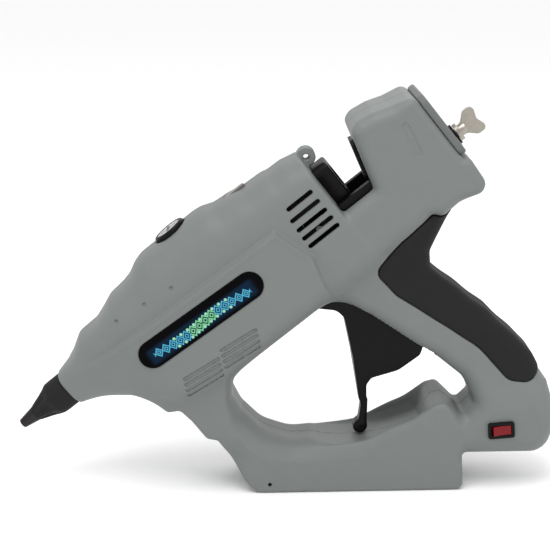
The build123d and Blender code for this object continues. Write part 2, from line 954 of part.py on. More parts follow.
with BuildPart() as insulation_sleeve:
    start = lobe_front + 1
    end = rear_insulator_place - rib_thickness - 1
    cylinder_along(start, end, chamber_radius + insulation)
    block_along(start, end, -lobe_depth - insulation, 0, lobe_half_width + insulation, 5)
    cylinder_along(start - 1, end + 1, chamber_radius + fit_gap, mode=Mode.SUBTRACT)
    block_along(
        start - 1, end + 1, -lobe_depth - fit_gap, 0, lobe_half_width + fit_gap, 4, mode=Mode.SUBTRACT
    )
    extrude(
        disc(top_plane(thermistor_place, 0), thermistor_radius + 1.6), amount=20, mode=Mode.SUBTRACT
    )

with BuildPart() as front_insulator:
    end = front_insulator_place + insulator_thickness
    half_width, top, bottom, corner = front_insulator_size
    block_along(front_insulator_place, end, bottom, top, half_width, corner)
    cylinder_along(front_insulator_place - 1, end + 1, chamber_radius + fit_gap, mode=Mode.SUBTRACT)

with BuildPart() as rear_insulator:
    end = rear_insulator_place + insulator_thickness
    half_width, top, bottom, corner = rear_insulator_size
    block_along(rear_insulator_place, end, bottom, top, half_width, corner)
    cylinder_along(rear_insulator_place - 1, end + 1, chamber_radius + fit_gap, mode=Mode.SUBTRACT)
    block_along(
        rear_insulator_place - 1,
        end + 1,
        -lobe_depth - fit_gap,
        0,
        lobe_half_width + fit_gap,
        4,
        mode=Mode.SUBTRACT,
    )

# Inlet: collar in the notch, sleeve to the chamber and its clip
flange_rear = barrel_rear - wall - fit_gap
flange_front = flange_rear - 2.2
with BuildPart() as inlet_collar:
    block_along(
        barrel_rear, barrel_rear + collar_depth, collar_bottom, collar_top, collar_half_width, 5
    )
    fillet(inlet_collar.faces().sort_by(gun_axis)[-1].edges(), radius=1.5)
    cylinder_along(flange_rear, barrel_rear + 1, collar_neck_radius)
    cylinder_along(flange_front, flange_rear, collar_neck_radius + 1.4)
    cylinder_along(flange_front - collar_spigot, flange_front, tail_radius)
    turned(
        (
            (flange_front - collar_spigot - 1, 0),
            (flange_front - collar_spigot - 1, stick_bore),
            (barrel_rear + collar_depth - 3.5, stick_bore),
            (barrel_rear + collar_depth + 0.5, stick_bore + 3),
            (barrel_rear + collar_depth + 0.5, 0),
        ),
        mode=Mode.SUBTRACT,
    )

sleeve_radius = tail_radius + fit_gap + sleeve_wall
with BuildPart() as inlet_sleeve:
    cylinder_along(chamber_rear + slide_gap, flange_front - seat_gap, sleeve_radius)
    cylinder_along(chamber_rear - 1, flange_front + 1, tail_radius + fit_gap, mode=Mode.SUBTRACT)

clip_place = tail_rear - clip_width - 4
clip_radius = sleeve_radius + fit_gap + clip_wall
with BuildPart() as hose_clip:
    cylinder_along(clip_place, clip_place + clip_width, clip_radius)
    slabs_along(
        clip_place, clip_place + clip_width, clip_radius - 1, clip_radius + 4, 0, clip_wall + clip_slit
    )
    cylinder_along(clip_place - 1, clip_place + clip_width + 1, sleeve_radius + fit_gap, mode=Mode.SUBTRACT)
    block_along(
        clip_place - 1, clip_place + clip_width + 1, 0, clip_radius + 6, clip_slit, mode=Mode.SUBTRACT
    )

with BuildPart() as front_bush:
    cylinder_along(notch_rear - 6, frame_front - 0.5, bush_tube)
    split(bisect_by=front_plane, keep=Keep.BOTTOM)
    extrude(panel(front_plane, 2 * (bar_inner - 2.5), 2 * (-collar_bottom - 1), 5), amount=2.0)
    cylinder_along(notch_rear - 8, frame_front + 1, stick_bore, mode=Mode.SUBTRACT)

# Feed: frame, rods, carriage with springs, jaw
frame_half_width = block_half_width - wall - loose_gap
frame_end = frame_rear + frame_plate
with BuildPart() as feed_frame:
    block_along(frame_front, frame_front + frame_plate, frame_bottom, frame_top, frame_half_width)
    block_along(frame_rear, frame_end, frame_bottom, frame_top, frame_half_width)
    block_along(frame_front, frame_end, frame_bottom, frame_bottom + frame_plate, frame_half_width)
    cylinder_along(frame_front - 1, frame_end + 1, bush_tube + fit_gap, mode=Mode.SUBTRACT)
    cylinder_along(frame_rear - 1, frame_end + 1, pad_hole, screw_height, mode=Mode.SUBTRACT)
    for spread in (cap_screw_spread, -cap_screw_spread):
        cylinder_along(
            frame_rear - 2,
            frame_end + 1,
            screw_shank + fit_gap,
            cap_screw_height,
            spread,
            mode=Mode.SUBTRACT,
        )
    for side in (1, -1):
        cylinder_along(
            frame_front - 1,
            frame_end + 1,
            rod_radius + fit_gap,
            rod_height,
            side * rod_spread,
            mode=Mode.SUBTRACT,
        )
    slabs_along(
        frame_front - 1,
        frame_front + frame_plate + 1,
        bar_low - loose_gap,
        bar_high + loose_gap,
        bar_inner - loose_gap,
        bar_outer + loose_gap,
        mode=Mode.SUBTRACT,
    )

with BuildPart() as guide_rods:
    for side in (1, -1):
        cylinder_along(frame_front, frame_end, rod_radius, rod_height, side * rod_spread)

cheek_top = jaw_pin_height + 3.6
with BuildPart() as carriage:
    block_along(carriage_front, carriage_rear, carriage_bottom, frame_top, carriage_half_width, 2)
    slabs_along(
        jaw_pin_place - 4, carriage_rear, frame_top - 2, cheek_top, jaw_half_width, jaw_half_width + 4
    )
    slabs_along(pin_place - bar_front_reach, carriage_front + 1, bar_low, bar_high, bar_inner, bar_outer)
    cylinder_along(carriage_front - 1, carriage_rear + 1, stick_bore + 0.4, mode=Mode.SUBTRACT)
    block_along(
        carriage_front - 1,
        carriage_rear + 1,
        4,
        cheek_top + 1,
        jaw_half_width + slide_gap,
        mode=Mode.SUBTRACT,
    )
    for side in (1, -1):
        cylinder_along(
            carriage_front - 1,
            carriage_rear + 1,
            rod_radius + fit_gap,
            rod_height,
            side * rod_spread,
            mode=Mode.SUBTRACT,
        )
    slabs_along(
        pin_place - drive_pin_radius - slide_gap,
        pin_place + drive_pin_radius + slide_gap,
        pin_height - drive_pin_radius - 0.9,
        pin_height + drive_pin_radius + 0.9,
        bar_inner - 1,
        bar_outer + 1,
        mode=Mode.SUBTRACT,
    )
    cross_bar(
        on_axis(jaw_pin_place, jaw_pin_height), jaw_pin_radius + fit_gap, -14, 14, mode=Mode.SUBTRACT
    )

with BuildPart() as carriage_springs:
    for side in (1, -1):
        coil(
            frame_front + frame_plate + 0.1,
            carriage_front - 0.1,
            rod_radius + 0.4 + spring_wire,
            spring_wire,
            spring_turns,
            rod_height,
            side * rod_spread,
        )

jaw_points = (
    (jaw_pin_place + 2.8, jaw_pin_height - 2.4),
    (jaw_pin_place + 2.8, jaw_pin_height + 2.4),
    (jaw_pin_place, jaw_pin_height + 2.9),
    (carriage_front + 1.2, jaw_pin_height + 1.4),
    (carriage_front + 0.6, stick_bore + 0.5),
    (carriage_front + 2.4, stick_bore + 0.2),
    (jaw_pin_place, jaw_pin_height - 2.6),
)
with BuildPart() as jaw:
    extrude(outline(side_plane, jaw_points), amount=jaw_half_width, both=True)
    cross_bar(
        on_axis(jaw_pin_place, jaw_pin_height), jaw_pin_radius + fit_gap, -9, 9, mode=Mode.SUBTRACT
    )

with BuildPart() as jaw_pin:
    cross_bar(on_axis(jaw_pin_place, jaw_pin_height), jaw_pin_radius, -jaw_half_width - 4, jaw_half_width + 4)

# Trigger with its arms, pin and drive pins, in X and Z about the pivot
trigger_points = (
    (24.5, 131),
    (17.5, 113),
    (17.8, 104.8),
    (29, 103),
    (33.6, 99.5),
    (36, 88),
    (39.4, 66),
    (41.6, 49),
    (46.4, 49),
    (45.2, 60),
    (48, 64.5),
    (63.5, 69.5),
    (76, 79.5),
    (79, 90),
    (70, 106),
    (46, 128),
    (38, 135),
)
trigger_radii = (0, 6, 2.5, 3, 4, 20, 60, 0, 0, 4, 3, 12, 4, 6, 10, 4, 0)
foot_angle = math.radians(trigger_foot_angle)
foot_point = pivot + Vector(math.sin(foot_angle), 0, -math.cos(foot_angle)) * trigger_foot_reach
tail_points = (
    (42.0, 46.2),
    (foot_point.X - trigger_foot_radius * 0.55, foot_point.Z),
    (foot_point.X + trigger_foot_radius * 0.75, foot_point.Z),
    (46.2, 51),
    (41.4, 51),
)
arm_points = (
    (pivot_place - hub_radius + 1.5, pivot_height),
    (pivot_place + hub_radius - 1.5, pivot_height),
    (pin_place + arm_eye, pin_height),
    (pin_place - arm_eye, pin_height),
)
with BuildPart() as trigger:
    extrude(outline(Plane.XZ, trigger_points, trigger_radii), amount=trigger_half_width, both=True)
    extrude(outline(Plane.XZ, tail_points), amount=trigger_half_width, both=True)
    cross_bar(pivot, hub_radius, -arm_outer, arm_outer)
    cross_bar(foot_point, trigger_foot_radius, -trigger_half_width, trigger_half_width)
    for side in (1, -1):
        arm_plane = Plane(axis_origin + across * side * arm_inner, x_dir=along, z_dir=(0, -1, 0))
        extrude(outline(arm_plane, arm_points), amount=-side * (arm_outer - arm_inner))
        cross_bar(drive_point, arm_eye, side * arm_inner, side * arm_outer)
    cross_bar(pivot, pivot_radius + fit_gap, -arm_outer - 1, arm_outer + 1, mode=Mode.SUBTRACT)
    cross_bar(drive_point, drive_pin_radius + fit_gap / 2, -arm_outer - 1, arm_outer + 1, mode=Mode.SUBTRACT)

with BuildPart() as trigger_pin:
    cross_bar(pivot, pivot_radius, -trigger_pin_reach, trigger_pin_reach)

with BuildPart() as drive_pins:
    for side in (1, -1):
        cross_bar(drive_point, drive_pin_radius, side * arm_inner, side * bar_outer)

# Grip pad and badges
with BuildPart() as grip_pad:
    add(grip_zone(grip_thickness, 0.0))

with BuildPart() as badge_left:
    extrude(badge_face(-1, 0.0), amount=badge_thickness - badge_recess)
    extrude(badge_face(-1, 0.0), amount=-badge_recess)

with BuildPart() as badge_right:
    extrude(badge_face(1, 0.0), amount=badge_thickness - badge_recess)
    extrude(badge_face(1, 0.0), amount=-badge_recess)

# Temperature dial, its shaft and potentiometer on the board, and the lamp
board_top = board_height + board_thickness
pot_top = platform_top - wall - seat_gap
dial_low = platform_top - dial_sink + slide_gap
dial_top = dial_low + dial_height
with BuildPart() as control_board:
    board = panel(top_plane(dial_place, board_height), board_length, 2 * board_half_width, 1)
    extrude(board, amount=board_thickness)

with BuildPart() as potentiometer:
    extrude(disc(top_plane(dial_place, board_top), pot_radius), amount=pot_height)
    extrude(disc(top_plane(dial_place, board_top), shaft_radius + 1), amount=pot_top - board_top)
    shaft_low = board_top + 3
    extrude(
        disc(top_plane(dial_place, shaft_low), shaft_radius + fit_gap), amount=30, mode=Mode.SUBTRACT
    )

with BuildPart() as dial_shaft:
    shaft_top = dial_top - 2
    shaft_start = shaft_low + seat_gap
    extrude(disc(top_plane(dial_place, shaft_start), shaft_radius), amount=shaft_top - shaft_start)

with BuildPart() as temperature_dial:
    extrude(disc(top_plane(dial_place, dial_low), dial_radius), amount=dial_height)
    chamfer(temperature_dial.faces().sort_by(Axis(axis_origin, above))[-1].edges(), length=0.8)
    extrude(
        disc(top_plane(dial_place, dial_low - 1), shaft_radius + fit_gap / 2),
        amount=shaft_top + seat_gap - dial_low + 1,
        mode=Mode.SUBTRACT,
    )
    extrude(
        disc(top_plane(dial_place, dial_top - 1), dial_face_radius + fit_gap), amount=2, mode=Mode.SUBTRACT
    )

with BuildPart() as dial_face:
    extrude(disc(top_plane(dial_place, dial_top - 1), dial_face_radius), amount=0.8)

lens_top = 30.4 + lens_proud
lens_low = lens_top - 4.6
with BuildPart() as indicator_lens:
    extrude(panel(top_plane(lens_place, lens_low), lens_length, lens_width, 2.4), amount=lens_top - lens_low)

with BuildPart() as indicator_lamp:
    extrude(disc(top_plane(lens_place, lens_low - 5.2), lamp_radius), amount=5.0)

# Mains switch on the heel
rocker_window = rocker_length + 2 * rocker_play
trunnion_reach = rocker_height / 2 + trunnion_length
hinge_point = switch_plane.origin - switch_plane.z_dir * rocker_drop
hinge_plane = Plane(hinge_point, x_dir=switch_plane.x_dir, z_dir=switch_plane.y_dir)
with BuildPart() as switch_housing:
    extrude(panel(switch_plane, bezel_length, bezel_height, 1.4), amount=bezel_thickness)
    extrude(panel(switch_plane, switch_body_length, switch_body_height), amount=-switch_depth)
    extrude(
        panel(switch_plane.offset(-switch_cavity), rocker_window, rocker_height + 2 * slide_gap),
        amount=switch_cavity + bezel_thickness + 1,
        mode=Mode.SUBTRACT,
    )
    extrude(
        disc(hinge_plane, trunnion_radius + fit_gap),
        amount=trunnion_reach + fit_gap,
        both=True,
        mode=Mode.SUBTRACT,
    )

rocker_plane = Plane(switch_plane.origin, x_dir=switch_plane.x_dir, z_dir=switch_plane.y_dir)
rocker_half = rocker_length / 2
rocker_points = (
    (-rocker_half, -2.6),
    (-rocker_half, 2.3),
    (0, 1.7),
    (rocker_half, 2.3),
    (rocker_half, -2.6),
)


def rocked(point):
    """Rocker outline turned to its resting tilt about its hinge, with outwards as minus y."""
    turn = math.radians(-rocker_tilt)
    high = point[1] + rocker_drop
    out = point[0] * math.sin(turn) + high * math.cos(turn) - rocker_drop
    return (point[0] * math.cos(turn) - high * math.sin(turn), -out)


with BuildPart() as switch_rocker:
    extrude(
        outline(rocker_plane, [rocked(point) for point in rocker_points]), amount=rocker_height / 2, both=True
    )
    extrude(disc(hinge_plane, trunnion_radius), amount=trunnion_reach, both=True)

with BuildPart() as switch_terminals:
    for side in (1, -1):
        spot = switch_plane.offset(-switch_depth).location * Location((side * terminal_spread, 0, 0))
        extrude(panel(Plane(spot), 0.8, 4.8), amount=-terminal_length)

# Cord bush in the back of the foot
bush_plane = Plane((foot_rear, 0, cord_height), x_dir=across, z_dir=(1, 0, 0))
with BuildPart() as cord_bush:
    extrude(disc(bush_plane, cord_bush_radius + cord_flange), amount=cord_flange_thickness)
    extrude(disc(bush_plane, cord_bush_radius), amount=-wall - 1.5)
    reach = 2 * wall + cord_flange_thickness
    extrude(disc(bush_plane, cord_bore), amount=reach, both=True, mode=Mode.SUBTRACT)

# Screws that hold the halves together, driven from the right
with BuildPart() as housing_screws:
    for point, half_width in housing_screw_spots:
        seat = half_width - screw_sink
        cross_bar(point, screw_shank, screw_tip, seat + 1)
        cross_bar(point, screw_head, seat, seat + screw_head_height)

pieces = {
    "left_shell": left_shell,
    "right_shell": right_shell,
    "rear_cap": rear_cap,
    "cap_screws": cap_screws,
    "rear_bush": rear_bush,
    "front_bush": front_bush,
    "screw_insert": screw_insert,
    "screw_washer": screw_washer,
    "stop_pad": stop_pad,
    "wing_screw": wing_screw,
    "nozzle": nozzle,
    "nozzle_cover": nozzle_cover,
    "valve_seat": valve_seat,
    "valve_ball": valve_ball,
    "valve_spring": valve_spring,
    "melt_chamber": melt_chamber,
    "heater_cartridges": heater_cartridges,
    "thermal_fuse": thermal_fuse,
    "thermistor": thermistor,
    "insulation_sleeve": insulation_sleeve,
    "front_insulator": front_insulator,
    "rear_insulator": rear_insulator,
    "inlet_collar": inlet_collar,
    "inlet_sleeve": inlet_sleeve,
    "hose_clip": hose_clip,
    "feed_frame": feed_frame,
    "guide_rods": guide_rods,
    "carriage": carriage,
    "carriage_springs": carriage_springs,
    "jaw": jaw,
    "jaw_pin": jaw_pin,
    "trigger": trigger,
    "trigger_pin": trigger_pin,
    "drive_pins": drive_pins,
    "grip_pad": grip_pad,
    "badge_left": badge_left,
    "badge_right": badge_right,
    "control_board": control_board,
    "potentiometer": potentiometer,
    "dial_shaft": dial_shaft,
    "temperature_dial": temperature_dial,
    "dial_face": dial_face,
    "indicator_lens": indicator_lens,
    "indicator_lamp": indicator_lamp,
    "switch_housing": switch_housing,
    "switch_rocker": switch_rocker,
    "switch_terminals": switch_terminals,
    "cord_bush": cord_bush,
    "housing_screws": housing_screws,
}

os.makedirs("parts", exist_ok=True)
for name, piece in pieces.items():
    piece.part.label = name
    export_step(piece.part, f"parts/{name}.step")
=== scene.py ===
import json
import math

import bmesh
import bpy
import numpy as np
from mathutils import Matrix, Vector


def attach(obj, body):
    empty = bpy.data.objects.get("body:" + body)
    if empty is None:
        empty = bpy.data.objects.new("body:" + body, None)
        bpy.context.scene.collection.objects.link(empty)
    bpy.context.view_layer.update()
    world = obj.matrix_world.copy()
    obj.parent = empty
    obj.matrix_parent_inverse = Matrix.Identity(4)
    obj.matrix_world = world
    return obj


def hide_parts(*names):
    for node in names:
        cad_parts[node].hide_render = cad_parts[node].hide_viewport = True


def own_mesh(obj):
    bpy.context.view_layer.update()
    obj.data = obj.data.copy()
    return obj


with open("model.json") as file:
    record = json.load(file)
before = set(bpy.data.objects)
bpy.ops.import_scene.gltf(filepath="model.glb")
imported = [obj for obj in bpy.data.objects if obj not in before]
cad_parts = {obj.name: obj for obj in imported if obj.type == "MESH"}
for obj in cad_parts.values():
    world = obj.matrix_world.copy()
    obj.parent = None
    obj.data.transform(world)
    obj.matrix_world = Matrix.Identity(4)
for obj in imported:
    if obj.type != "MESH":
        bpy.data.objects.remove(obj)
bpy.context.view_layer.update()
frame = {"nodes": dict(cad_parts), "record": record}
nodes = frame["nodes"]
print("frame loaded")

mm = 0.001

# gun axis in the XZ plane: start point and tilt, shapes below are in millimetres
axisX, axisZ, axisTilt = 20.5, 179.0, math.radians(38.6)
runX, runZ = math.cos(axisTilt), math.sin(axisTilt)


def turned(across, up, angle):
    # a point read in directions turned by an angle
    run, rise = math.cos(angle), math.sin(angle)
    return across * run + up * rise, up * run - across * rise


def toAxis(x, z):
    return turned(x - axisX, z - axisZ, axisTilt)


def fromAxis(place, height):
    return axisX + place * runX - height * runZ, axisZ + place * runZ + height * runX


# shader graphs: a wire is one output, and sums of wires make math nodes
class Wire:
    def __init__(self, tree, socket=None):
        self.tree, self.socket = tree, socket

    def node(self, kind, settings=None, inputs=None, out=0):
        made = self.tree.nodes.new(kind)
        for key, value in (settings or {}).items():
            setattr(made, key, value)
        for key, value in (inputs or {}).items():
            if isinstance(value, Wire):
                self.tree.links.new(value.socket, made.inputs[key])
            else:
                made.inputs[key].default_value = value
        return Wire(self.tree, made.outputs[out])

    def op(self, kind, first, second=0.0):
        return self.node("ShaderNodeMath", {"operation": kind}, {0: first, 1: second})

    def __add__(self, other):
        return self.op("ADD", self, other)

    def __radd__(self, other):
        return self.op("ADD", other, self)

    def __sub__(self, other):
        return self.op("SUBTRACT", self, other)

    def __rsub__(self, other):
        return self.op("SUBTRACT", other, self)

    def __mul__(self, other):
        return self.op("MULTIPLY", self, other)

    def __truediv__(self, other):
        return self.op("DIVIDE", self, other)

    def sine(self):
        return self.op("SINE", self)

    def size(self):
        return self.op("ABSOLUTE", self)

    def root(self):
        return self.op("SQRT", self)

    def fract(self):
        return self.op("FRACT", self)

    def least(self, other):
        return self.op("MINIMUM", self, other)

    def most(self, other):
        return self.op("MAXIMUM", self, other)

    def under(self, limit, soft):
        limits = {"Value": self, "From Min": limit + soft, "From Max": limit - soft}
        return self.node("ShaderNodeMapRange", {"interpolation_type": "SMOOTHSTEP"}, limits)

    def noise(self, scale, detail=2.0):
        spot = self.node("ShaderNodeTexCoord", out="Object")
        return self.node("ShaderNodeTexNoise", None, {"Vector": spot, "Scale": scale, "Detail": detail})

    def spot(self):
        place = self.node("ShaderNodeTexCoord", out="Object")
        return [self.node("ShaderNodeSeparateXYZ", None, {0: place}, out=n) for n in range(3)]

    def mixed(self, low, high):
        return self.node("ShaderNodeMix", {"data_type": "RGBA"}, {0: self, 6: low, 7: high}, out=2)

    def tint(self, low, high):
        return self.mixed((*low, 1.0), (*high, 1.0))

    def over(self, base, colour):
        return self.mixed(base, (*colour, 1.0))


def shades(colour, spread):
    # darker and lighter linear colour round a display colour of 0 to 255
    level = np.array(colour, float) / 255.0
    base = np.where(level <= 0.04045, level / 12.92, ((level + 0.055) / 1.055) ** 2.4)
    return (base * (1 - spread)).tolist(), (base * (1 + spread)).tolist()


def surface(name):
    made = bpy.data.materials.new(name)
    made.use_nodes = True
    return made, made.node_tree.nodes["Principled BSDF"], Wire(made.node_tree)


def plug(wire, bsdf, values):
    for key, value in values.items():
        if isinstance(value, Wire):
            wire.tree.links.new(value.socket, bsdf.inputs[key])
        else:
            bsdf.inputs[key].default_value = value


# plain finishes: colour, spread of colour, roughness, metal, grain per metre, grain strength, sheen
finishes = {
    "housingGrey": ((107, 111, 109), 0.06, 0.50, 0.0, 1900.0, 0.10, 0.40),
    # painted shade: the rear cap is the housing grey made darker for the shade on its recessed side
    "capShadedGrey": ((95, 98, 97), 0.06, 0.55, 0.0, 1900.0, 0.10, 0.40),
    "blackPlastic": ((12, 11, 12), 0.12, 0.38, 0.0, 1500.0, 0.06, 0.12),
    "blackRubber": ((26, 25, 25), 0.16, 0.70, 0.0, 1100.0, 0.22, 0.20),
    "nozzleMetal": ((52, 50, 50), 0.12, 0.38, 1.0, 900.0, 0.04, 0.5),
    "steel": ((120, 120, 121), 0.06, 0.36, 1.0, 900.0, 0.03, 0.5),
    "brightSteel": ((158, 153, 144), 0.22, 0.34, 1.0, 500.0, 0.05, 0.5),
    "brass": ((190, 154, 92), 0.08, 0.30, 1.0, 700.0, 0.03, 0.5),
    "aluminium": ((160, 162, 164), 0.06, 0.45, 1.0, 800.0, 0.06, 0.5),
    "ceramic": ((200, 196, 186), 0.05, 0.60, 0.0, 700.0, 0.05, 0.4),
    "mica": ((150, 132, 104), 0.20, 0.40, 0.0, 300.0, 0.05, 0.4),
    "glassFibre": ((190, 185, 166), 0.15, 0.80, 0.0, 1200.0, 0.30, 0.3),
    # painted shade: the silicone sleeve is dark grey so that the vents in front of it read as shade
    "silicone": ((44, 40, 39), 0.08, 0.60, 0.0, 900.0, 0.05, 0.3),
    "circuitBoard": ((30, 76, 48), 0.12, 0.40, 0.0, 700.0, 0.04, 0.4),
}
grainLook = {"broad": 140.0, "height": 0.0004, "swing": 0.14}


def plainFinish(name, colour, spread, rough, metal, grain, strength, sheen):
    made, bsdf, wire = surface(name)
    broad, fine = wire.noise(grainLook["broad"]), wire.noise(grain)
    relief = {"Strength": strength, "Distance": grainLook["height"], "Height": fine}
    plug(wire, bsdf, {
        "Base Color": (broad * 0.5 + fine * 0.5).tint(*shades(colour, spread)),
        "Roughness": rough + (fine - 0.5) * grainLook["swing"],
        "Metallic": metal,
        "Specular IOR Level": sheen,
        "Normal": wire.node("ShaderNodeBump", None, relief),
    })
    return made


materials = {name: plainFinish(name, *look) for name, look in finishes.items()}

# badge: black plate with a blue glow along its middle, a chain of lozenges and beads beside the chain
badge = {"place": -100.5, "height": -10.2, "lean": axisTilt - math.radians(2.7), "length": 83.5,
         "width": 16.0, "half": 31.0, "sunk": 0.6, "gap": 0.15, "soft": 0.3, "rough": 0.5,
         "plate": (0.0035, 0.0035, 0.004), "glow": (0.006, 0.016, 0.034)}
glow = {"height": -1.2, "half": 4.6, "soft": 1.2, "reach": 36.0, "end": 2.0}
chain = {"pitch": 4.6, "reach": 33.0, "end": 0.4, "height": -1.6, "bend": 0.13, "sway": 0.9, "lean": 0.85,
         "size": 2.9, "taper": 0.022, "inner": 0.42, "line": 0.42, "innerLine": 0.34, "soft": 0.2,
         "middle": 9.0, "middleEnd": 0.5, "blue": (0.07, 0.34, 0.50), "green": (0.18, 0.50, 0.21)}
beads = {"out": 2.6, "size": 0.8, "soft": 0.4, "reach": 20.0, "colour": (0.26, 0.55, 0.40)}


def badgeFinish(name):
    made, bsdf, wire = surface(name)
    x, _, z = wire.spot()
    midX, midZ = fromAxis(badge["place"], badge["height"])
    u, v = turned(x / mm - midX, z / mm - midZ, badge["lean"])
    length = u.size()
    lit = (v - glow["height"]).size().under(glow["half"], glow["soft"])
    ground = (lit * length.under(glow["reach"], glow["end"])).tint(badge["plate"], badge["glow"])
    # lozenges: distance along folded by the pitch, plus a share of the distance across
    across = (v - chain["height"] - (u * chain["bend"]).sine() * chain["sway"]).size()
    along = ((u / chain["pitch"]).fract() - 0.5).size() * chain["pitch"]
    shape = along + across * chain["lean"]
    swell = chain["size"] - length * chain["taper"]
    outer = (shape - swell).size().under(chain["line"], chain["soft"])
    inner = (shape - swell * chain["inner"]).size().under(chain["innerLine"], chain["soft"])
    lozenges = outer.most(inner) * length.under(chain["reach"], chain["end"])
    # beads: round spots halfway between the lozenges, on both sides of the chain
    ahead, aside = chain["pitch"] / 2 - along, across - beads["out"]
    dots = (ahead * ahead + aside * aside).under(beads["size"], beads["soft"])
    colour = lozenges.over(ground, chain["blue"])
    colour = (lozenges * length.under(chain["middle"], chain["middleEnd"])).over(colour, chain["green"])
    colour = (dots * length.under(beads["reach"], beads["soft"])).over(colour, beads["colour"])
    plug(wire, bsdf, {"Base Color": colour, "Roughness": badge["rough"], "Specular IOR Level": 0.0})
    return made


# dial face: pale disc with painted light, lighter towards the far side, with a dark cross, a dark middle and
# ticks round the edge, about the dial's centre
dial = {"place": -86.0, "shaft": 4.2, "floor": 26.0, "recess": 10.6, "ledge": 34.3, "rough": 0.38,
        "low": (0.34, 0.34, 0.33), "high": (0.46, 0.46, 0.44), "paintedLightSlope": 0.05, "dark": (0.008, 0.008, 0.009),
        "soft": 0.2}
ticks = {"turns": 5.5, "width": 0.30, "soft": 0.10, "ring": 6.3, "half": 0.6, "end": 0.12}
cross = {"half": 1.0, "reach": 5.4, "middle": 1.9}


def dialFinish(name):
    made, bsdf, wire = surface(name)
    x, y, z = wire.spot()
    midX, midZ = fromAxis(dial["place"], 0.0)
    u = (x / mm - midX) * runX + (z / mm - midZ) * runZ
    v = y / mm
    away = (u * u + v * v).root()
    rays = (wire.op("ARCTAN2", v, u) * ticks["turns"]).sine().size().under(ticks["width"], ticks["soft"])
    rim = rays * (away - ticks["ring"]).size().under(ticks["half"], ticks["end"])
    arms = v.size().least(u.size()).under(cross["half"], dial["soft"])
    arms = arms * away.under(cross["reach"], dial["soft"])
    marks = rim.most(arms).most(away.under(cross["middle"], dial["soft"]))
    # painted light: the pale face grows lighter towards the far side
    pale = (v * dial["paintedLightSlope"] + 0.5).tint(dial["low"], dial["high"])
    plug(wire, bsdf, {"Base Color": marks.over(pale, dial["dark"]), "Roughness": dial["rough"]})
    return made


gloss = {"grain": 900.0, "spread": 0.08, "swing": 0.05, "coatRough": 0.08, "sheen": 0.2}


def glossFinish(name, colour, rough, coat):
    made, bsdf, wire = surface(name)
    fine = wire.noise(gloss["grain"])
    plug(wire, bsdf, {
        "Base Color": fine.tint(*shades(colour, gloss["spread"])),
        "Roughness": rough + (fine - 0.5) * gloss["swing"],
        "Coat Weight": coat,
        "Coat Roughness": gloss["coatRough"],
        "Specular IOR Level": gloss["sheen"],
    })
    return made


materials["badgePrint"] = badgeFinish("badgePrint")
materials["dialPrint"] = dialFinish("dialPrint")
materials["redPlastic"] = glossFinish("redPlastic", (112, 5, 15), 0.22, 0.1)
materials["lampLens"] = glossFinish("lampLens", (96, 92, 88), 0.30, 0.3)
print("materials made")

slotMaterial = {
    "housing_grey": "housingGrey", "cap_grey": "capShadedGrey", "black_plastic": "blackPlastic",
    "black_rubber": "blackRubber", "badge_plate": "badgePrint", "red_plastic": "redPlastic",
    "dial_print": "dialPrint", "lamp_lens": "lampLens", "nozzle_metal": "nozzleMetal", "steel": "steel",
    "bright_steel": "brightSteel", "brass": "brass", "aluminium": "aluminium", "ceramic": "ceramic",
    "mica": "mica", "glass_fibre": "glassFibre", "silicone": "silicone", "circuit_board": "circuitBoard",
}
nodeSlot = {part["node"]: part["material_slot"] for part in frame["record"]["subparts"]}
bodies = frame["record"]["behaviour"]["bodies"]
nodeBody = {node: body for body, members in bodies.items() for node in members}
for name, node in nodes.items():
    node.data.materials.clear()
    node.data.materials.append(materials[slotMaterial[nodeSlot[name]]])
# painted shade: the steel hose clip takes the dark nozzle metal so that it reads as shade through the vents
nodes["hose_clip"].data.materials[0] = materials["nozzleMetal"]


def place(obj, node):
    # a new piece takes over a node: its body, its slot and its finish
    bpy.context.scene.collection.objects.link(obj)
    if not obj.data.materials:
        obj.data.materials.append(materials[slotMaterial[nodeSlot[node]]])
    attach(obj, nodeBody[node])
    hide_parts(node)
    return obj


def meshFrom(name, points, faces, normals=None):
    made = bpy.data.meshes.new(name)
    made.from_pydata((points * mm).tolist(), [], faces.tolist())
    made.polygons.foreach_set("use_smooth", np.ones(len(made.polygons), bool))
    made.update()
    if normals is not None:
        made.normals_split_custom_set_from_vertices(normals.tolist())
    return bpy.data.objects.new(name, made)


# distance fields: negative inside, joined, cut and met with a soft edge
def join(a, b, soft):
    mix = np.clip(0.5 + 0.5 * (b - a) / soft, 0, 1)
    return b + (a - b) * mix - soft * mix * (1 - mix)


def meet(a, b, soft):
    return -join(-a, -b, soft)


def cut(a, b, soft):
    return -join(-a, b, soft)


def edged(u, v, edge):
    # corner between two distances, rounded with a radius
    u, v = u + edge, v + edge
    return np.minimum(np.maximum(u, v), 0) + np.hypot(np.maximum(u, 0), np.maximum(v, 0)) - edge


def ramp(low, high, value):
    t = np.clip((value - low) / (high - low), 0, 1)
    return t * t * (3 - 2 * t)


def between(first, last, limits, value):
    return first + (last - first) * ramp(*limits, value)


def within(value, low, high):
    return np.abs(value - (low + high) / 2) - (high - low) / 2


def barIn(u, v, halfU, halfV, edge):
    return edged(np.abs(u) - halfU, np.abs(v) - halfV, edge)


def pill(u, v, half, radius):
    # bar with round ends, by half its straight length and its radius
    return np.hypot(np.maximum(np.abs(u) - half, 0), v) - radius


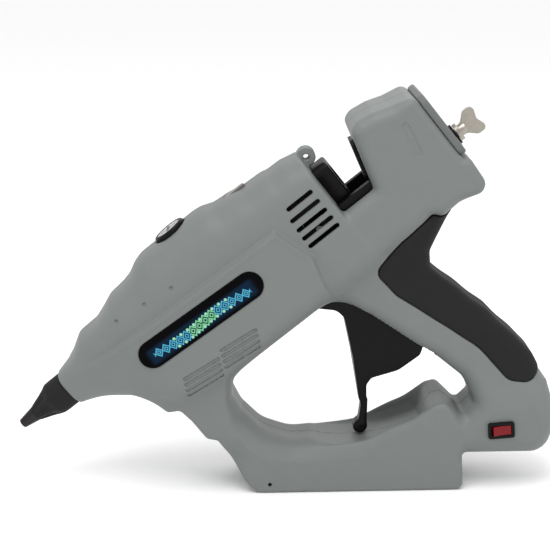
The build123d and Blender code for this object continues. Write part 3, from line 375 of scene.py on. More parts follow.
def roundedRing(points, radii, steps=6):
    # outline with its corners replaced by arcs, each from tangent point to tangent point
    points = np.array(points, float)
    before, after = np.roll(points, 1, 0), np.roll(points, -1, 0)
    ring = []
    for point, back, ahead, radius in zip(points, before, after, radii):
        a, b = back - point, ahead - point
        a, b = a / np.hypot(*a), b / np.hypot(*b)
        half = 0.5 * math.acos(max(-1.0, min(1.0, float(a @ b))))
        if radius <= 0 or half > 1.55:
            ring.append(point[None])
            continue
        middle = point + (a + b) / np.hypot(*(a + b)) * radius / math.sin(half)
        tangent = radius / math.tan(half)
        first, last = point + a * tangent - middle, point + b * tangent - middle
        t = np.linspace(0, 1, steps)[:, None]
        spoke = first * (1 - t) + last * t
        ring.append(middle + spoke / np.hypot(spoke[:, :1], spoke[:, 1:]) * radius)
    return np.concatenate(ring)


def ringDistance(px, pz, ring):
    # distance to the nearest edge, negative where an odd number of edges lies ahead
    best, inside = np.full(px.shape, 1e9), np.zeros(px.shape, bool)
    for (ax, az), (bx, bz) in zip(ring, np.roll(ring, -1, 0)):
        ex, ez = bx - ax, bz - az
        t = np.clip(((px - ax) * ex + (pz - az) * ez) / max(ex * ex + ez * ez, 1e-9), 0, 1)
        best = np.minimum(best, (px - ax - t * ex) ** 2 + (pz - az - t * ez) ** 2)
        if abs(ez) > 1e-9:
            inside ^= ((az > pz) != (bz > pz)) & (px < ex * (pz - az) / ez + ax)
    return np.where(inside, -1.0, 1.0) * np.sqrt(best)


tableLow, tableStep, tableCount = (-190.0, -12.0), 0.9, (405, 285)


def table(ring):
    x = tableLow[0] + tableStep * np.arange(tableCount[0])[:, None]
    z = tableLow[1] + tableStep * np.arange(tableCount[1])[None, :]
    return ringDistance(np.broadcast_to(x, tableCount), np.broadcast_to(z, tableCount), ring)


def sample(values, x, z):
    # cubic reading of a table between its points
    x, z = np.broadcast_arrays(x, z)
    u = np.clip((x - tableLow[0]) / tableStep, 1, tableCount[0] - 3)
    v = np.clip((z - tableLow[1]) / tableStep, 1, tableCount[1] - 3)
    i, k = np.floor(u).astype(int), np.floor(v).astype(int)

    def weights(f):
        return (((2 - f) * f - 1) * f / 2, ((3 * f - 5) * f * f + 2) / 2,
                ((4 - 3 * f) * f + 1) * f / 2, (f - 1) * f * f / 2)

    wu, wv = weights(u - i), weights(v - k)
    total = 0.0
    for a in range(4):
        for b in range(4):
            total = total + wu[a] * wv[b] * values[i + a - 1, k + b - 1]
    return total


curveSpan = {"from": -215.0, "to": 30.0, "step": 0.5, "reach": 30}


def curve(points, soft):
    # polyline over the gun axis, smoothed by a bell
    fine = np.arange(curveSpan["from"], curveSpan["to"], curveSpan["step"])
    line = np.interp(fine, [p[0] for p in points], [p[1] for p in points])
    away = np.arange(-curveSpan["reach"], curveSpan["reach"] + 1) * curveSpan["step"]
    bell = np.exp(-0.5 * (away / soft) ** 2)
    padded = np.pad(line, curveSpan["reach"], mode="edge")
    return fine, np.convolve(padded, bell / bell.sum(), mode="valid")


edgePairs = [(0, 1), (2, 3), (4, 5), (6, 7), (0, 2), (1, 3), (4, 6), (5, 7), (0, 4), (1, 5), (2, 6), (3, 7)]
corners = np.array([[c & 1, c >> 1 & 1, c >> 2 & 1] for c in range(8)])


def skin(values, low, pitch):
    # one vertex per mixed cell at the mean of its edge crossings, one face per crossed grid edge
    inside = values < 0
    count = np.zeros(tuple(n - 1 for n in values.shape), np.int8)
    for dx, dy, dz in corners:
        count += inside[dx:dx + count.shape[0], dy:dy + count.shape[1], dz:dz + count.shape[2]]
    mixed = (count > 0) & (count < 8)
    cells = np.argwhere(mixed)
    index = np.full(count.shape, -1, np.int32)
    index[mixed] = np.arange(len(cells))
    total, crossings = np.zeros((len(cells), 3)), np.zeros(len(cells))
    reading = [values[tuple((cells + c).T)] for c in corners]
    for first, second in edgePairs:
        a, b = reading[first], reading[second]
        crossed = (a < 0) != (b < 0)
        t = np.where(crossed, a / np.where(crossed, a - b, 1), 0)[:, None]
        total += np.where(crossed[:, None], corners[first] + t * (corners[second] - corners[first]), 0)
        crossings += crossed
    points = low + pitch * (cells + total / crossings[:, None])
    faces = []
    for axis in range(3):
        near = [slice(1, n - 1) for n in values.shape]
        near[axis] = slice(0, values.shape[axis] - 1)
        far = list(near)
        far[axis] = slice(1, values.shape[axis])
        a, b = inside[tuple(near)], inside[tuple(far)]
        edges = np.argwhere(a != b)
        start = np.array([s.start for s in near])
        flip = a[tuple(edges.T)]
        edges = edges + start
        one, two = np.eye(3, dtype=int)[(axis + 1) % 3], np.eye(3, dtype=int)[(axis + 2) % 3]
        quad = np.stack([index[tuple((edges - shift).T)] for shift in (one * 0, one, one + two, two)], 1)
        faces.append(np.where(flip[:, None], quad, quad[:, ::-1]))
    return points, np.concatenate(faces)


def slope(field, points, step=0.04):
    x, y, z = points.T
    return np.stack([
        field(x + step, y, z) - field(x - step, y, z),
        field(x, y + step, z) - field(x, y - step, z),
        field(x, y, z + step) - field(x, y, z - step),
    ], 1) / (2 * step)


def settle(field, points, reach, rounds=2, flattest=0.2):
    # moves points down the slope of the field until they lie on it, and gives the slope there as normals
    for _ in range(rounds):
        grad = slope(field, points)
        steep = np.maximum((grad ** 2).sum(1, keepdims=True), flattest)
        points = points - np.clip(field(*points.T)[:, None] * grad / steep, -reach, reach)
    grad = slope(field, points)
    return points, grad / np.maximum(np.linalg.norm(grad, axis=1, keepdims=True), 1e-6)


def largest(points, faces):
    # keeps the connected part with the most faces: each point takes the lowest number among its neighbours
    label = np.arange(len(points))
    while True:
        lower = label.copy()
        np.minimum.at(lower, faces.ravel(), np.repeat(label[faces].min(1), faces.shape[1]))
        lower = lower[lower]
        if (lower == label).all():
            break
        label = lower
    faces = faces[label[faces[:, 0]] == np.bincount(label[faces[:, 0]]).argmax()]
    used, faces = np.unique(faces, return_inverse=True)
    return points[used], faces.reshape(-1, 3)


def solidOf(name, field, low, high, pitch, limit):
    # surface of a field inside a box, thinned to a limit of triangles and settled on the field again
    low, high = np.array(low, float), np.array(high, float)
    counts = np.ceil((high - low) / pitch).astype(int) + 1
    x = (low[0] + pitch * np.arange(counts[0]))[:, None, None]
    y = (low[1] + pitch * np.arange(counts[1]))[None, :, None]
    z = (low[2] + pitch * np.arange(counts[2]))[None, None, :]
    values = np.broadcast_to(field(x, y, z), tuple(counts)).astype(np.float32)
    points, faces = skin(values, low, pitch)
    points, normals = settle(field, points, 0.3 * pitch)
    if 2 * len(faces) > limit:
        rough = meshFrom(name + "Rough", points, faces)
        bpy.context.scene.collection.objects.link(rough)
        thin = rough.modifiers.new("thin", "DECIMATE")
        thin.ratio = limit / (2 * len(faces))
        thin.use_collapse_triangulate = True
        whole = rough.evaluated_get(bpy.context.evaluated_depsgraph_get()).to_mesh()
        points = np.empty(len(whole.vertices) * 3)
        whole.vertices.foreach_get("co", points)
        points = points.reshape(-1, 3) / mm
        faces = np.empty(len(whole.polygons) * 3, int)
        whole.polygons.foreach_get("vertices", faces)
        faces = faces.reshape(-1, 3)
        bpy.data.objects.remove(rough)
        points, faces = largest(points, faces)
        points, normals = settle(field, points, 0.2 * pitch)
    print(name, len(points), "points", len(faces), "faces")
    return meshFrom(name, points, faces, normals)


# barrel: above the crease an oval of a power, as wide and as high as the curves along the gun axis say, and
# below it straight sides down to the low curve; outside the panel the sides lie back by the step, and a soft
# ridge runs inside the panel's edge
barrelShape = {
    "half": ((-192, 10.8), (-176, 18.5), (-158, 26.5), (-140, 31.0), (-54, 31.0), (-1, 29.5)),
    "top": ((-192, 10.8), (-182, 13.2), (-175, 16.2), (-166, 21.6), (-153, 21.8), (-145, 24.7),
            (-137.5, 27.8), (-127, 28.8), (-121, 30.2), (-114, 33.8), (-108, 35.5), (-69, 35.5), (-64, 34.8),
            (-57, 32.0), (-46, 31.0), (-38, 29.2), (-25, 28.6), (-21, 27.5), (-12, 27.3), (-5, 25.6),
            (-1, 24.9)),
    "low": ((-192, -10.8), (-176, -15.5), (-158, -27.0), (-140, -46.0), (-118, -50.0), (-1, -50.0)),
    "corner": ((-192, 10.4), (-176, 12.0), (-158, 13.0), (-140, 13.0), (-1, 12.0)),
    "crease": ((-192, 3.0), (-161, 7.4), (-98, 4.6), (-37, 2.7), (-1, 2.0)),
    "step": ((-192, 0.0), (-174, 0.0), (-156, 2.8), (-60, 2.6), (-1, 2.0)),
    "panel": ((-215, 9.2), (-164, 7.2), (-98, 4.6), (-37, 2.7), (-29, -22), (-34, -40), (-34, -80),
              (-150, -80), (-215, -40)),
    "front": -191.5, "frontEdge": 1.2, "rear": -1.0, "rearEdge": 2.5, "power": 2.5, "ledge": 1.3,
    "ridge": 0.17, "ridgeInset": 1.8, "ridgeWidth": 1.6, "core": 0.25, "flattest": 0.012,
}
curveSoft = {"half": 4.0, "top": 0.9, "low": 4.0, "corner": 4.0, "crease": 4.0, "step": 4.0}

# rear block, handle and guard: slabs of an outline across the gun with rounded edges
# the block's outline is given along the gun axis
blockShape = {
    "points": ((-30, -46), (-30, -14.5), (21, -14.5), (30.8, 20), (36.5, 21.7), (46.5, 20.2), (56, 16.9),
               (70, 13.3), (70, -31), (73.6, -34), (72.2, -55.0), (54, -50.8), (42, -51.5), (38, -46)),
    "radii": (0, 0, 2.2, 5, 6, 12, 10, 5, 0, 4, 6, 10, 4, 6),
    "half": 27.5, "soft": 7.5, "crisp": 4.5, "turnsCrisp": (56, 67),
}
handleShape = {
    "points": ((20, 118), (46.3, 104), (72.1, 86.5), (85.4, 79), (100.2, 67), (108, 54), (112, 42), (146, 42),
               (150.0, 61.8), (140.6, 81.6), (114.6, 105.8), (80.0, 132.5), (79.5, 142.2), (91.4, 167),
               (50, 174)),
    "radii": (0, 20, 20, 20, 12, 8, 0, 0, 20, 16, 30, 6, 8, 0, 0),
    "half": 18.5, "edge": 9.5,
}
guardShape = {
    "points": ((-20, 0.03), (101, 0.03), (101, 20.5), (150, 20.5), (157.3, 40), (151, 63), (126, 82),
               (104, 69), (107.5, 51.5), (100.5, 44.5), (89.5, 54.2), (83, 52.6), (70, 43.2), (40, 34.8),
               (17, 30.6), (1, 29.0), (-16, 35), (-28, 47), (-34, 58), (-33, 68.5), (-14, 89), (-45, 86),
               (-76, 68), (-90, 62.5), (-76.5, 54.0), (-71.5, 50.0), (-64.3, 51.0), (-57.5, 44.3),
               (-49, 33.6), (-42.8, 32.4), (-25, 5)),
    "radii": (8, 4, 3, 12, 10, 0, 0, 5, 4, 3, 4, 6, 24, 30, 30, 24, 20, 14, 8, 8, 0, 0, 0, 0, 6, 3.5, 4, 4, 4,
              3, 5),
    "half": 24.0, "slim": 18.8, "slimUp": (48, 70), "slimBack": (86, 100),
    "edge": 1.8, "top": 1.8, "topUp": (8, 24), "front": 11.0, "frontFrom": (-44, -28), "frontTo": (36, 74),
    "heel": 8.0, "heelFrom": (90, 104),
}
joins = {"block": 3.0, "neck": (14.0, 5.0, (62, 84)), "bar": (5.0, 3.0, (60, 100))}

# trough in the bar: the arc that the trigger's foot sweeps about the pivot, closed above the bar
pivotPlace, pivotHeight = -21.6, -45.8
pivot = fromAxis(pivotPlace, pivotHeight)
trough = {"reach": 102.1, "turn": np.radians(np.linspace(-9.0, 26.2, 13)),
          "half": 19.5, "edge": 4.0, "soft": 2.5,
          "above": ((82.5, 53.0), (82.5, 58.0), (13.0, 58.0), (13.0, 31.0))}
sweep = np.stack([pivot[0] + trough["reach"] * np.sin(trough["turn"]),
                  pivot[1] - trough["reach"] * np.cos(trough["turn"])], 1)

gripShape = {
    "points": ((92, 176), (78, 164), (61.9, 150), (47.0, 132), (60, 118.0), (86, 101.2), (109.0, 86.0),
               (126.5, 66.0), (139.5, 64.5), (150, 76), (168, 84), (110, 150), (95, 168)),
    "radii": (0, 0, 14, 7, 14, 0, 50, 9, 8, 0, 0, 0, 0),
    "clear": 1.0, "proud": 0.25, "wave": 0.25, "ripple": 0.2, "deep": 2.15, "back": 0.5, "inset": 0.25,
    "edge": 1.6,
}
leverSlot = {"points": ((13, 94), (13, 116), (30, 136), (56, 124), (90, 89), (80, 74), (45, 94)),
             "radii": (0, 0, 0, 0, 6, 3, 20), "half": 13.6}


def onAxis(points):
    return np.array([fromAxis(*p) for p in points])


def ringOf(shape):
    return roundedRing(shape["points"], shape["radii"])


blockTable = table(onAxis(ringOf(blockShape)))
handleTable = table(ringOf(handleShape))
guardTable = table(ringOf(guardShape))
troughTable = table(np.concatenate([sweep, trough["above"]]))
gripTable = np.maximum(table(ringOf(gripShape)), gripShape["clear"] - blockTable)
leverSlotTable = table(ringOf(leverSlot))
panelTable = table(onAxis(barrelShape["panel"]))
curves = {key: curve(barrelShape[key], soft) for key, soft in curveSoft.items()}
print("outlines tabled")


def barrelField(x, a, z, s, h):
    half, top, low, corner, crease, step = (np.interp(s, *line) for line in curves.values())
    inward = -sample(panelTable, x, z)
    bell = np.exp(-((inward - barrelShape["ridgeInset"]) / barrelShape["ridgeWidth"]) ** 2)
    outside = 1 - ramp(-barrelShape["ledge"], barrelShape["ledge"], inward)
    wide = half - step * outside + barrelShape["ridge"] * step * bell
    rise, power = top - crease, barrelShape["power"]
    across, up = a / wide, np.maximum(h - crease, 0) / rise
    reach = np.maximum((across ** power + up ** power) ** (1 / power), barrelShape["core"])
    steep = reach ** (1 - power) * np.hypot(across ** (power - 1) / wide, up ** (power - 1) / rise)
    shell = (reach - 1) / np.maximum(steep, barrelShape["flattest"])
    shell = edged(shell, low - h, corner)
    shell = edged(shell, barrelShape["front"] - s, barrelShape["frontEdge"])
    return edged(shell, s - barrelShape["rear"], barrelShape["rearEdge"])


def bodyField(x, y, z):
    s, h = toAxis(x, z)
    a = np.abs(y)
    barrel = barrelField(x, a, z, s, h)
    blockEdge = between(blockShape["soft"], blockShape["crisp"], blockShape["turnsCrisp"], s)
    block = edged(sample(blockTable, x, z), a - blockShape["half"], blockEdge)
    handle = edged(sample(handleTable, x, z), a - handleShape["half"], handleShape["edge"])
    # the heel narrows upwards to the width of the handle
    slimmer = (guardShape["slim"] - guardShape["half"]) * ramp(*guardShape["slimUp"], z)
    guardHalf = guardShape["half"] + slimmer * ramp(*guardShape["slimBack"], x)
    # the bar's top edges are full and soft in front, crisp behind the trigger, soft again at the heel
    front = guardShape["front"] * ramp(*guardShape["frontFrom"], x) * (1 - ramp(*guardShape["frontTo"], x))
    topEdge = guardShape["top"] + front + guardShape["heel"] * ramp(*guardShape["heelFrom"], x)
    guardEdge = guardShape["edge"] + ramp(*guardShape["topUp"], z) * topEdge
    guard = edged(sample(guardTable, x, z), a - guardHalf, guardEdge)
    guard = cut(guard, edged(sample(troughTable, x, z), a - trough["half"], trough["edge"]), trough["soft"])
    neck = join(join(barrel, block, joins["block"]), handle, between(*joins["neck"], x))
    return join(neck, guard, between(*joins["bar"], x))


# shell: the body less an inner body one wall in, with sunk marks, screw bosses and holes, halved at the seam
shell = {"wall": 2.6, "soft": 0.4, "seam": 0.3, "join": 0.03, "holeSoft": 0.5,
         "deep": 2.2, "deepOut": (0, 3),
         "thin": 1.4, "thinUp": (5, 11), "thinBack": (48, 53), "thinOut": (11.5, 15)}
padSeat = {"gap": 0.15, "deep": 2.3, "edge": 0.5, "soft": 0.6}
dimples = {"spots": ((-102, 14.0), (-120, 16.0), (-139, 18.0)), "radius": 1.0, "deep": 0.7, "soft": 0.4}
grooves = {"starts": (-131, -104), "lines": 4, "height": -31.5, "pitch": 3.2, "slope": 0.12, "middle": 12.5,
           "shift": 1.5, "half": 12.0, "halfWidth": 1.0, "edge": 0.8, "deep": 0.9, "soft": 0.6}
mark = {"place": 54.7, "height": -4.6, "turn": math.radians(78.7), "half": 8.5, "radius": 1.5, "deep": 0.35,
        "soft": 1.2}
screws = {"spots": (fromAxis(-149, -30) + (24.0,), fromAxis(-62, -41) + (27.0,),
                    fromAxis(-31, 17.5) + (27.0,), (-43, 52, 24.0), (-6, 14, 24.0), (91, 14, 24.0),
                    (143, 36, 24.0), fromAxis(8, -36) + (27.5,)),
          "boss": 4.4, "inset": 0.6, "head": 3.3, "sink": 6.0, "shank": 1.7, "soft": 0.3}
lug = {"spot": fromAxis(1.5, 20.5), "radius": 5.5, "half": 4.5, "hole": 1.75, "soft": 1.0}
# round holes along the gun axis: height, radius, start and end
bores = ((0.0, 7.8, -220.0, -187.0), (0.0, 9.85, -5.1, 0.5), (0.0, 8.25, 19.0, 35.0), (0.0, 8.25, 65.5, 72.5),
         (-23.5, 5.0, 65.5, 72.5))
# square holes of the feed: place, height, half length, half height, nearest and furthest from the middle
feedHoles = ((10.0, -17.25, 11.0, 3.75, -20.0, 20.0), (14.0, -14.11, 19.5, 4.6, 12.9, 19.1))
feedEdge = 0.3
lens = {"place": -43.0, "half": (7.05, 3.05), "edge": 2.5, "floor": 22.0}
cordHole = {"height": 10.0, "radius": 5.05, "front": 97.0}
pinHole = {"spot": (-12.5, 5.2), "radius": 1.1}
vents = {"bars": ((7.7, 18.0), (1.2, 20.5), (-5.2, 21.0), (-10.8, 21.5), (-16.4, 21.5)),
         "rear": -6.0, "radius": 1.3, "inner": 20.0}
switch = {"spot": (122.5, 37.4), "lean": math.radians(4.0), "half": (6.75, 4.15), "edge": 0.4, "inner": 15.0}


def sunkMarks(solid, body, a, s, h):
    u, v = turned(s - badge["place"], h - badge["height"], badge["lean"] - axisTilt)
    plate = pill(u, v, (badge["length"] - badge["width"]) / 2, badge["width"] / 2 + badge["gap"])
    solid = cut(solid, plate + np.maximum(badge["half"] - badge["sunk"] - a, 0), badge["soft"])
    for spot, height in dimples["spots"]:
        pit = np.hypot(s - spot, h - height) - dimples["radius"]
        solid = cut(solid, np.maximum(pit, -body - dimples["deep"]), dimples["soft"])
    for start in grooves["starts"]:
        for line in range(grooves["lines"]):
            up = np.abs(h - grooves["height"] + grooves["pitch"] * line + grooves["slope"] * (s - start))
            out = np.abs(s - start - grooves["middle"] + grooves["shift"] * line)
            bar = edged(out - grooves["half"], up - grooves["halfWidth"], grooves["edge"])
            solid = cut(solid, np.maximum(bar, -body - grooves["deep"]), grooves["soft"])
    u, v = turned(s - mark["place"], h - mark["height"], mark["turn"])
    bar = pill(u, v, mark["half"], mark["radius"])
    return cut(solid, np.maximum(bar, -body - mark["deep"]), mark["soft"])


def screwBosses(solid, body, x, a, z):
    for sx, sz, half in screws["spots"]:
        away = np.hypot(x - sx, z - sz)
        boss = np.maximum(away - screws["boss"], body + screws["inset"])
        solid = np.minimum(solid, np.maximum(boss, -a))
        solid = cut(solid, np.maximum(away - screws["head"], half - screws["sink"] - a), screws["soft"])
        solid = np.maximum(solid, screws["shank"] - away)
    return solid


def shellHoles(side, x, a, z, s, h):
    holes = []
    for height, radius, start, end in bores:
        holes.append(np.maximum(np.hypot(a, h - height) - radius, within(s, start, end)))
    for spot, height, half, halfHeight, near, far in feedHoles:
        bar = barIn(s - spot, h - height, half, halfHeight, feedEdge)
        holes.append(np.maximum(bar, within(a, near, far)))
    fromDial = np.hypot(s - dial["place"], a)
    holes += [
        np.maximum(sample(leverSlotTable, x, z), a - leverSlot["half"]),
        np.hypot(x - lug["spot"][0], z - lug["spot"][1]) - lug["hole"] + 0 * a,
        np.maximum(fromDial - dial["shaft"], dial["floor"] - h),
        np.maximum(fromDial - dial["recess"], dial["ledge"] - h),
        np.maximum(barIn(s - lens["place"], a, *lens["half"], lens["edge"]), lens["floor"] - h),
        np.maximum(np.hypot(z - cordHole["height"], a) - cordHole["radius"], cordHole["front"] - x),
        np.hypot(x - pinHole["spot"][0], z - pinHole["spot"][1]) - pinHole["radius"] + 0 * a,
    ]
    for height, length in vents["bars"]:
        bar = pill(s - vents["rear"] + length / 2, h - height, length / 2 - vents["radius"], vents["radius"])
        holes.append(np.maximum(bar, vents["inner"] - a))
    if side < 0:
        u, v = turned(x - switch["spot"][0], z - switch["spot"][1], switch["lean"])
        holes.append(np.maximum(barIn(u, v, *switch["half"], switch["edge"]), switch["inner"] - a))
    return holes


def housingField(side):
    def field(x, y, z):
        s, h = toAxis(x, z)
        a = np.abs(y)
        body = bodyField(x, y, z)
        pad = sample(gripTable, x, z)
        seat = meet(pad - padSeat["gap"], -(body + padSeat["deep"]), padSeat["edge"])
        solid = cut(sunkMarks(body, body, a, s, h), seat, padSeat["soft"])
        # the wall lies deeper behind the grip pad, and the rear block's roof is thin over the feed carriage
        hollow = body + shell["wall"] + shell["deep"] * (1 - ramp(*shell["deepOut"], pad))
        over = ramp(*shell["thinUp"], h) * ramp(*shell["thinBack"], s) * (1 - ramp(*shell["thinOut"], a))
        solid = cut(solid, hollow - shell["thin"] * over, shell["soft"])
        if side > 0:
            solid = screwBosses(solid, body, x, a, z)
        eye = np.maximum(np.hypot(x - lug["spot"][0], z - lug["spot"][1]) - lug["radius"], a - lug["half"])
        solid = join(solid, eye, lug["soft"])
        for hole in shellHoles(side, x, a, z, s, h):
            solid = cut(solid, hole, shell["holeSoft"])
        return meet(solid, shell["join"] - side * y, shell["seam"])
    return field


pitch = 0.75
for node, side in (("left_shell", -1), ("right_shell", 1)):
    low, high = (-136.0, -33.0 if side < 0 else -1.5, -2.0), (160.0, 1.5 if side < 0 else 33.0, 238.0)
    half = solidOf("half_" + node[:-6], housingField(side), low, high, pitch, 190000)
    place(half, node)
print("housing made")


# grip pad: skin of the body inside the grip outline, a little proud, with soft waves down the back
def gripField(x, y, z):
    body = bodyField(x, y, z)
    wave = gripShape["wave"] * np.sin((x - z) * gripShape["ripple"])
    layer = meet(body - gripShape["proud"] - wave, -(body + gripShape["deep"]), gripShape["back"])
    return meet(layer, sample(gripTable, x, z) + gripShape["inset"], gripShape["edge"])


grip = solidOf("grip_rubber", gripField, (42, -29, 58), (156, 29, 182), 0.75, 120000)
place(grip, "grip_pad")

# rear cap: rounded plate across the gun axis with holes for the stick bush, the insert and two screws
cap = {"front": 70.0, "rear": 74.5, "top": 11.0, "low": -30.5, "half": 25.0, "corner": 6.0, "edge": 1.2,
       "soft": 0.3, "bush": 9.6, "bushBore": 8.25, "seat": 72.05, "insert": -23.5, "insertRadius": 4.45,
       "screwOut": 18.0, "screwHeight": -24.0, "head": 3.2, "shank": 1.7, "sink": 72.45}


def capField(x, y, z):
    s, h = toAxis(x, z)
    a = np.abs(y)
    plate = edged(a - cap["half"], within(h, cap["low"], cap["top"]), cap["corner"])
    solid = edged(plate, within(s, cap["front"], cap["rear"]), cap["edge"])
    fromAxle, fromScrew = np.hypot(a, h), np.hypot(a - cap["screwOut"], h - cap["screwHeight"])
    holes = (
        np.maximum(fromAxle - cap["bush"], cap["seat"] - s),
        fromAxle - cap["bushBore"],
        np.hypot(a, h - cap["insert"]) - cap["insertRadius"],
        np.maximum(fromScrew - cap["head"], cap["sink"] - s),
        fromScrew - cap["shank"],
    )
    for hole in holes:
        solid = cut(solid, hole, cap["soft"])
    return solid


plate = solidOf("cap_plate", capField, (66, -27, 196), (100, 27, 237), 0.6, 60000)
place(plate, "rear_cap")

# trigger: slab of an outline that widens upwards, a round foot below its tail, a hub on the pin and two arms
lever = {
    "points": ((24.5, 131), (16.5, 114), (14.8, 108.4), (26.6, 107.0), (31.0, 102.8), (32.6, 96),
               (36.3, 78.9), (41.0, 50), (45.6, 49), (45.2, 60), (48, 64.5), (63.5, 69.5), (76, 79.5),
               (79, 90), (70, 106), (46, 128), (38, 135)),
    "radii": (0, 6, 0.6, 7, 5, 10, 60, 0, 0, 4, 3, 12, 4, 6, 10, 4, 0),
    "width": (4.8, 11.4, (46, 84)), "edge": 1.5, "hub": 7.0, "hubHalf": 13.0, "bore": 3.05,
}
foot = {"reach": 97.0, "turn": math.radians(6.2), "back": 0.8, "radius": 4.1, "half": 5.2, "edge": 2.0,
        "soft": 1.5, "tail": (-2.3, 3.15)}
arm = {"run": 4.45, "rise": 31.69, "root": 5.5, "tip": 4.0, "out": (9.5, 13.0)}
footX = pivot[0] + foot["reach"] * math.sin(foot["turn"])
footZ = pivot[1] - foot["reach"] * math.cos(foot["turn"])
tail = np.array([(42.0, 46.2)] + [(footX + out, footZ) for out in foot["tail"]] + [(46.2, 51), (41.4, 51)])
leverTable = np.minimum(table(ringOf(lever)), table(tail))


def triggerField(x, y, z):
    a = np.abs(y)
    s, h = toAxis(x, z)
    web = edged(sample(leverTable, x, z), a - between(*lever["width"], z), lever["edge"])
    fromFoot = np.hypot(x - footX + foot["back"], z - footZ)
    ball = edged(fromFoot - foot["radius"], a - foot["half"], foot["edge"])
    fromPin = np.hypot(x - pivot[0], z - pivot[1])
    hub = np.maximum(fromPin - lever["hub"], a - lever["hubHalf"])
    ds, dh = s - pivotPlace, h - pivotHeight
    t = np.clip(dh / arm["rise"], 0, 1)
    rod = np.hypot(ds - arm["run"] * t, dh - arm["rise"] * t) - arm["root"] + (arm["root"] - arm["tip"]) * t
    arms = np.maximum(rod, within(a, *arm["out"]))
    whole = join(np.minimum(np.minimum(web, hub), arms), ball, foot["soft"])
    return np.maximum(whole, lever["bore"] - fromPin)


pitch = 0.7
trigger = solidOf("trigger_lever", triggerField, (8, -15, 26), (84, 15, 164), pitch, 110000)
place(trigger, "trigger")
print("grip and trigger made")


# nozzle and its cover: profiles turned about the gun axis, each ring drawn in by flutes to a share of its
# radius, which follows a cosine round the turn
cover = {"profile": ((-191.6, 10.4, 0.0), (-200.5, 10.35, 0.0), (-203.2, 10.1, 0.0), (-205.0, 9.5, 0.05),
                     (-207.0, 8.6, 0.12), (-210.0, 7.4, 0.16), (-214.0, 6.0, 0.14), (-216.8, 5.0, 0.06),
                     (-217.4, 4.7, 0.03), (-217.4, 3.8, 0.0), (-210.5, 4.65, 0.0), (-206.0, 7.65, 0.0),
                     (-191.6, 7.65, 0.0)), "flutes": 8, "turns": 128, "step": 0.5, "sharp": math.radians(40)}
tip = {"profile": ((-188.0, 7.6, 0.0), (-206.0, 7.6, 0.0), (-210.5, 4.6, 0.0), (-217.5, 3.7, 0.0),
                   (-217.6, 4.55, 0.0), (-227.5, 2.9, 0.0), (-228.0, 2.4, 0.0), (-228.0, 1.0, 0.0),
                   (-188.0, 1.0, 0.0)), "flutes": 8, "turns": 96, "step": 0.5, "sharp": math.radians(40)}


def turnedPiece(name, shape):
    spots = np.array(shape["profile"])
    length = np.concatenate([[0], np.cumsum(np.hypot(*np.diff(spots[:, :2], axis=0).T))])
    fine = np.unique(np.concatenate([np.arange(0, length[-1], shape["step"]), length]))
    s, radius, flute = (np.interp(fine, length, column)[:, None] for column in spots.T)
    turn = np.linspace(0, 2 * np.pi, shape["turns"], endpoint=False)[None, :]
    radius = radius * (1 - flute * (0.5 + 0.5 * np.cos(shape["flutes"] * turn)))
    x, z = fromAxis(s, radius * np.cos(turn))
    points = np.stack([x, radius * np.sin(turn), z], 2).reshape(-1, 3)
    rows, columns = len(fine), shape["turns"]
    i, k = np.meshgrid(np.arange(rows), np.arange(columns), indexing="ij")
    ni, nk = (i + 1) % rows, (k + 1) % columns
    faces = np.stack([i * columns + k, i * columns + nk, ni * columns + nk, ni * columns + k], 2)
    made = meshFrom(name, points, faces.reshape(-1, 4))
    made.data.set_sharp_from_angle(angle=shape["sharp"])
    return made


place(turnedPiece("nozzle_cone", cover), "nozzle_cover")
place(turnedPiece("nozzle_tip", tip), "nozzle")

soft = {"merge": 2e-6, "flat": math.radians(1.0), "sharp": math.radians(32.0), "segments": 2}


def softened(node, width):
    # copy of a node with shared corners merged, edges kept above an angle and eased by a small bevel
    made = bpy.data.meshes.new(node + "Soft")
    work = bmesh.new()
    work.from_mesh(nodes[node].data)
    bmesh.ops.remove_doubles(work, verts=work.verts, dist=soft["merge"])
    bmesh.ops.dissolve_limit(work, angle_limit=soft["flat"], verts=work.verts, edges=work.edges)
    work.to_mesh(made)
    work.free()
    made.polygons.foreach_set("use_smooth", np.ones(len(made.polygons), bool))
    made.set_sharp_from_angle(angle=soft["sharp"])
    obj = bpy.data.objects.new(node + "_eased", made)
    if width > 0:
        bevel = obj.modifiers.new("ease", "BEVEL")
        bevel.width, bevel.segments = width * mm, soft["segments"]
        bevel.limit_method, bevel.angle_limit = "ANGLE", soft["sharp"]
        bevel.use_clamp_overlap = True
        bevel.harden_normals = True
    return place(obj, node)


eased = {"rear_bush": 0.3, "front_bush": 0.3, "inlet_collar": 0.6, "carriage": 0.5, "screw_washer": 0.3,
         "wing_screw": 0.5, "cord_bush": 0.4, "switch_housing": 0.3, "switch_rocker": 0.4,
         "temperature_dial": 0.3, "dial_face": 0.0, "indicator_lens": 0.6, "badge_left": 0.3,
         "badge_right": 0.3, "housing_screws": 0.2, "cap_screws": 0.2}
for node, width in eased.items():
    softened(node, width)

# springs: eased copies with meshes of their own; the fixed end on the gun axis and the share of length left
# after the joint's travel are worked out but not used
springs = {"carriage_springs": {"joint": "carriage_slide", "fixed": 36.6, "travel": 8.95},
           "valve_spring": {"joint": "valve_slide", "fixed": -212.9, "travel": 2.0}}
for node, spring in springs.items():
    made = softened(node, 0.0)
    points = np.empty(len(made.data.vertices) * 3)
    made.data.vertices.foreach_get("co", points)
    s = toAxis(points[0::3] / mm, points[2::3] / mm)[0]
    x, z = fromAxis(spring["fixed"], 0.0)
    x * mm
    z * mm
    1 - spring["travel"] / float(np.abs(s - spring["fixed"]).max())
    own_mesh(made)
print("small pieces eased")

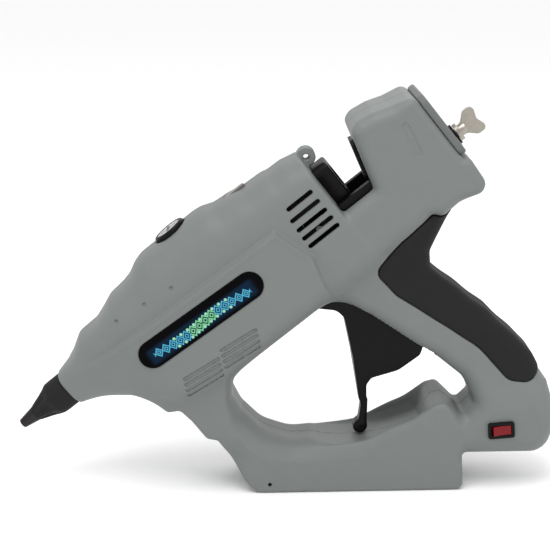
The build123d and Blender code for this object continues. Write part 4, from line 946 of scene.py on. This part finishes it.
# stage, light and camera
stage = {"half": 9.0, "colour": (0.97, 0.97, 0.97, 1.0), "rough": 0.95,
         "sky": (1.0, 1.0, 1.0, 1.0), "skyPower": 0.97}
half = stage["half"]
square = [(-half, -half, 0), (half, -half, 0), (half, half, 0), (-half, half, 0)]
floor = bpy.data.meshes.new("floor")
floor.from_pydata(square, [], [(0, 1, 2, 3)])
floorObject = bpy.data.objects.new("floor", floor)
floorLook, floorBsdf, floorWire = surface("floorPale")
plug(floorWire, floorBsdf, {"Base Color": stage["colour"], "Roughness": stage["rough"]})
floor.materials.append(floorLook)
bpy.context.scene.collection.objects.link(floorObject)

world = bpy.data.worlds.new("studio")
bpy.context.scene.world = world
world.use_nodes = True
world.node_tree.nodes["Background"].inputs["Color"].default_value = stage["sky"]
world.node_tree.nodes["Background"].inputs["Strength"].default_value = stage["skyPower"]


def areaLight(name, spot, aim, size, power):
    lamp = bpy.data.lights.new(name, "AREA")
    lamp.shape, lamp.size, lamp.energy = "SQUARE", size, power
    obj = bpy.data.objects.new(name, lamp)
    obj.location = spot
    obj.rotation_euler = (Vector(aim) - Vector(spot)).to_track_quat("-Z", "Y").to_euler()
    bpy.context.scene.collection.objects.link(obj)


areaLight("key", (-0.2, -0.45, 1.35), (0.0, 0.0, 0.1), 0.9, 10.0)
areaLight("fill", (0.85, -0.85, 0.55), (0.0, 0.0, 0.1), 0.9, 1.6)
areaLight("back", (0.25, 0.9, 0.9), (0.0, 0.0, 0.12), 0.8, 1.5)

view = {"target": Vector((-0.0085, 0.0, 0.126)), "away": 0.9, "turn": math.radians(2.5),
        "rise": math.radians(15.0), "lens": 101.57, "sensor": 36.0}
level = math.cos(view["rise"])
back = Vector((-math.sin(view["turn"]) * level, -math.cos(view["turn"]) * level, math.sin(view["rise"])))
camera = bpy.data.cameras.new("camera")
camera.lens, camera.sensor_width = view["lens"], view["sensor"]
cameraObject = bpy.data.objects.new("camera", camera)
cameraObject.location = view["target"] + back * view["away"]
cameraObject.rotation_euler = (-back).to_track_quat("-Z", "Y").to_euler()
bpy.context.scene.collection.objects.link(cameraObject)
bpy.context.scene.camera = cameraObject
bpy.context.scene.view_settings.view_transform = "Standard"
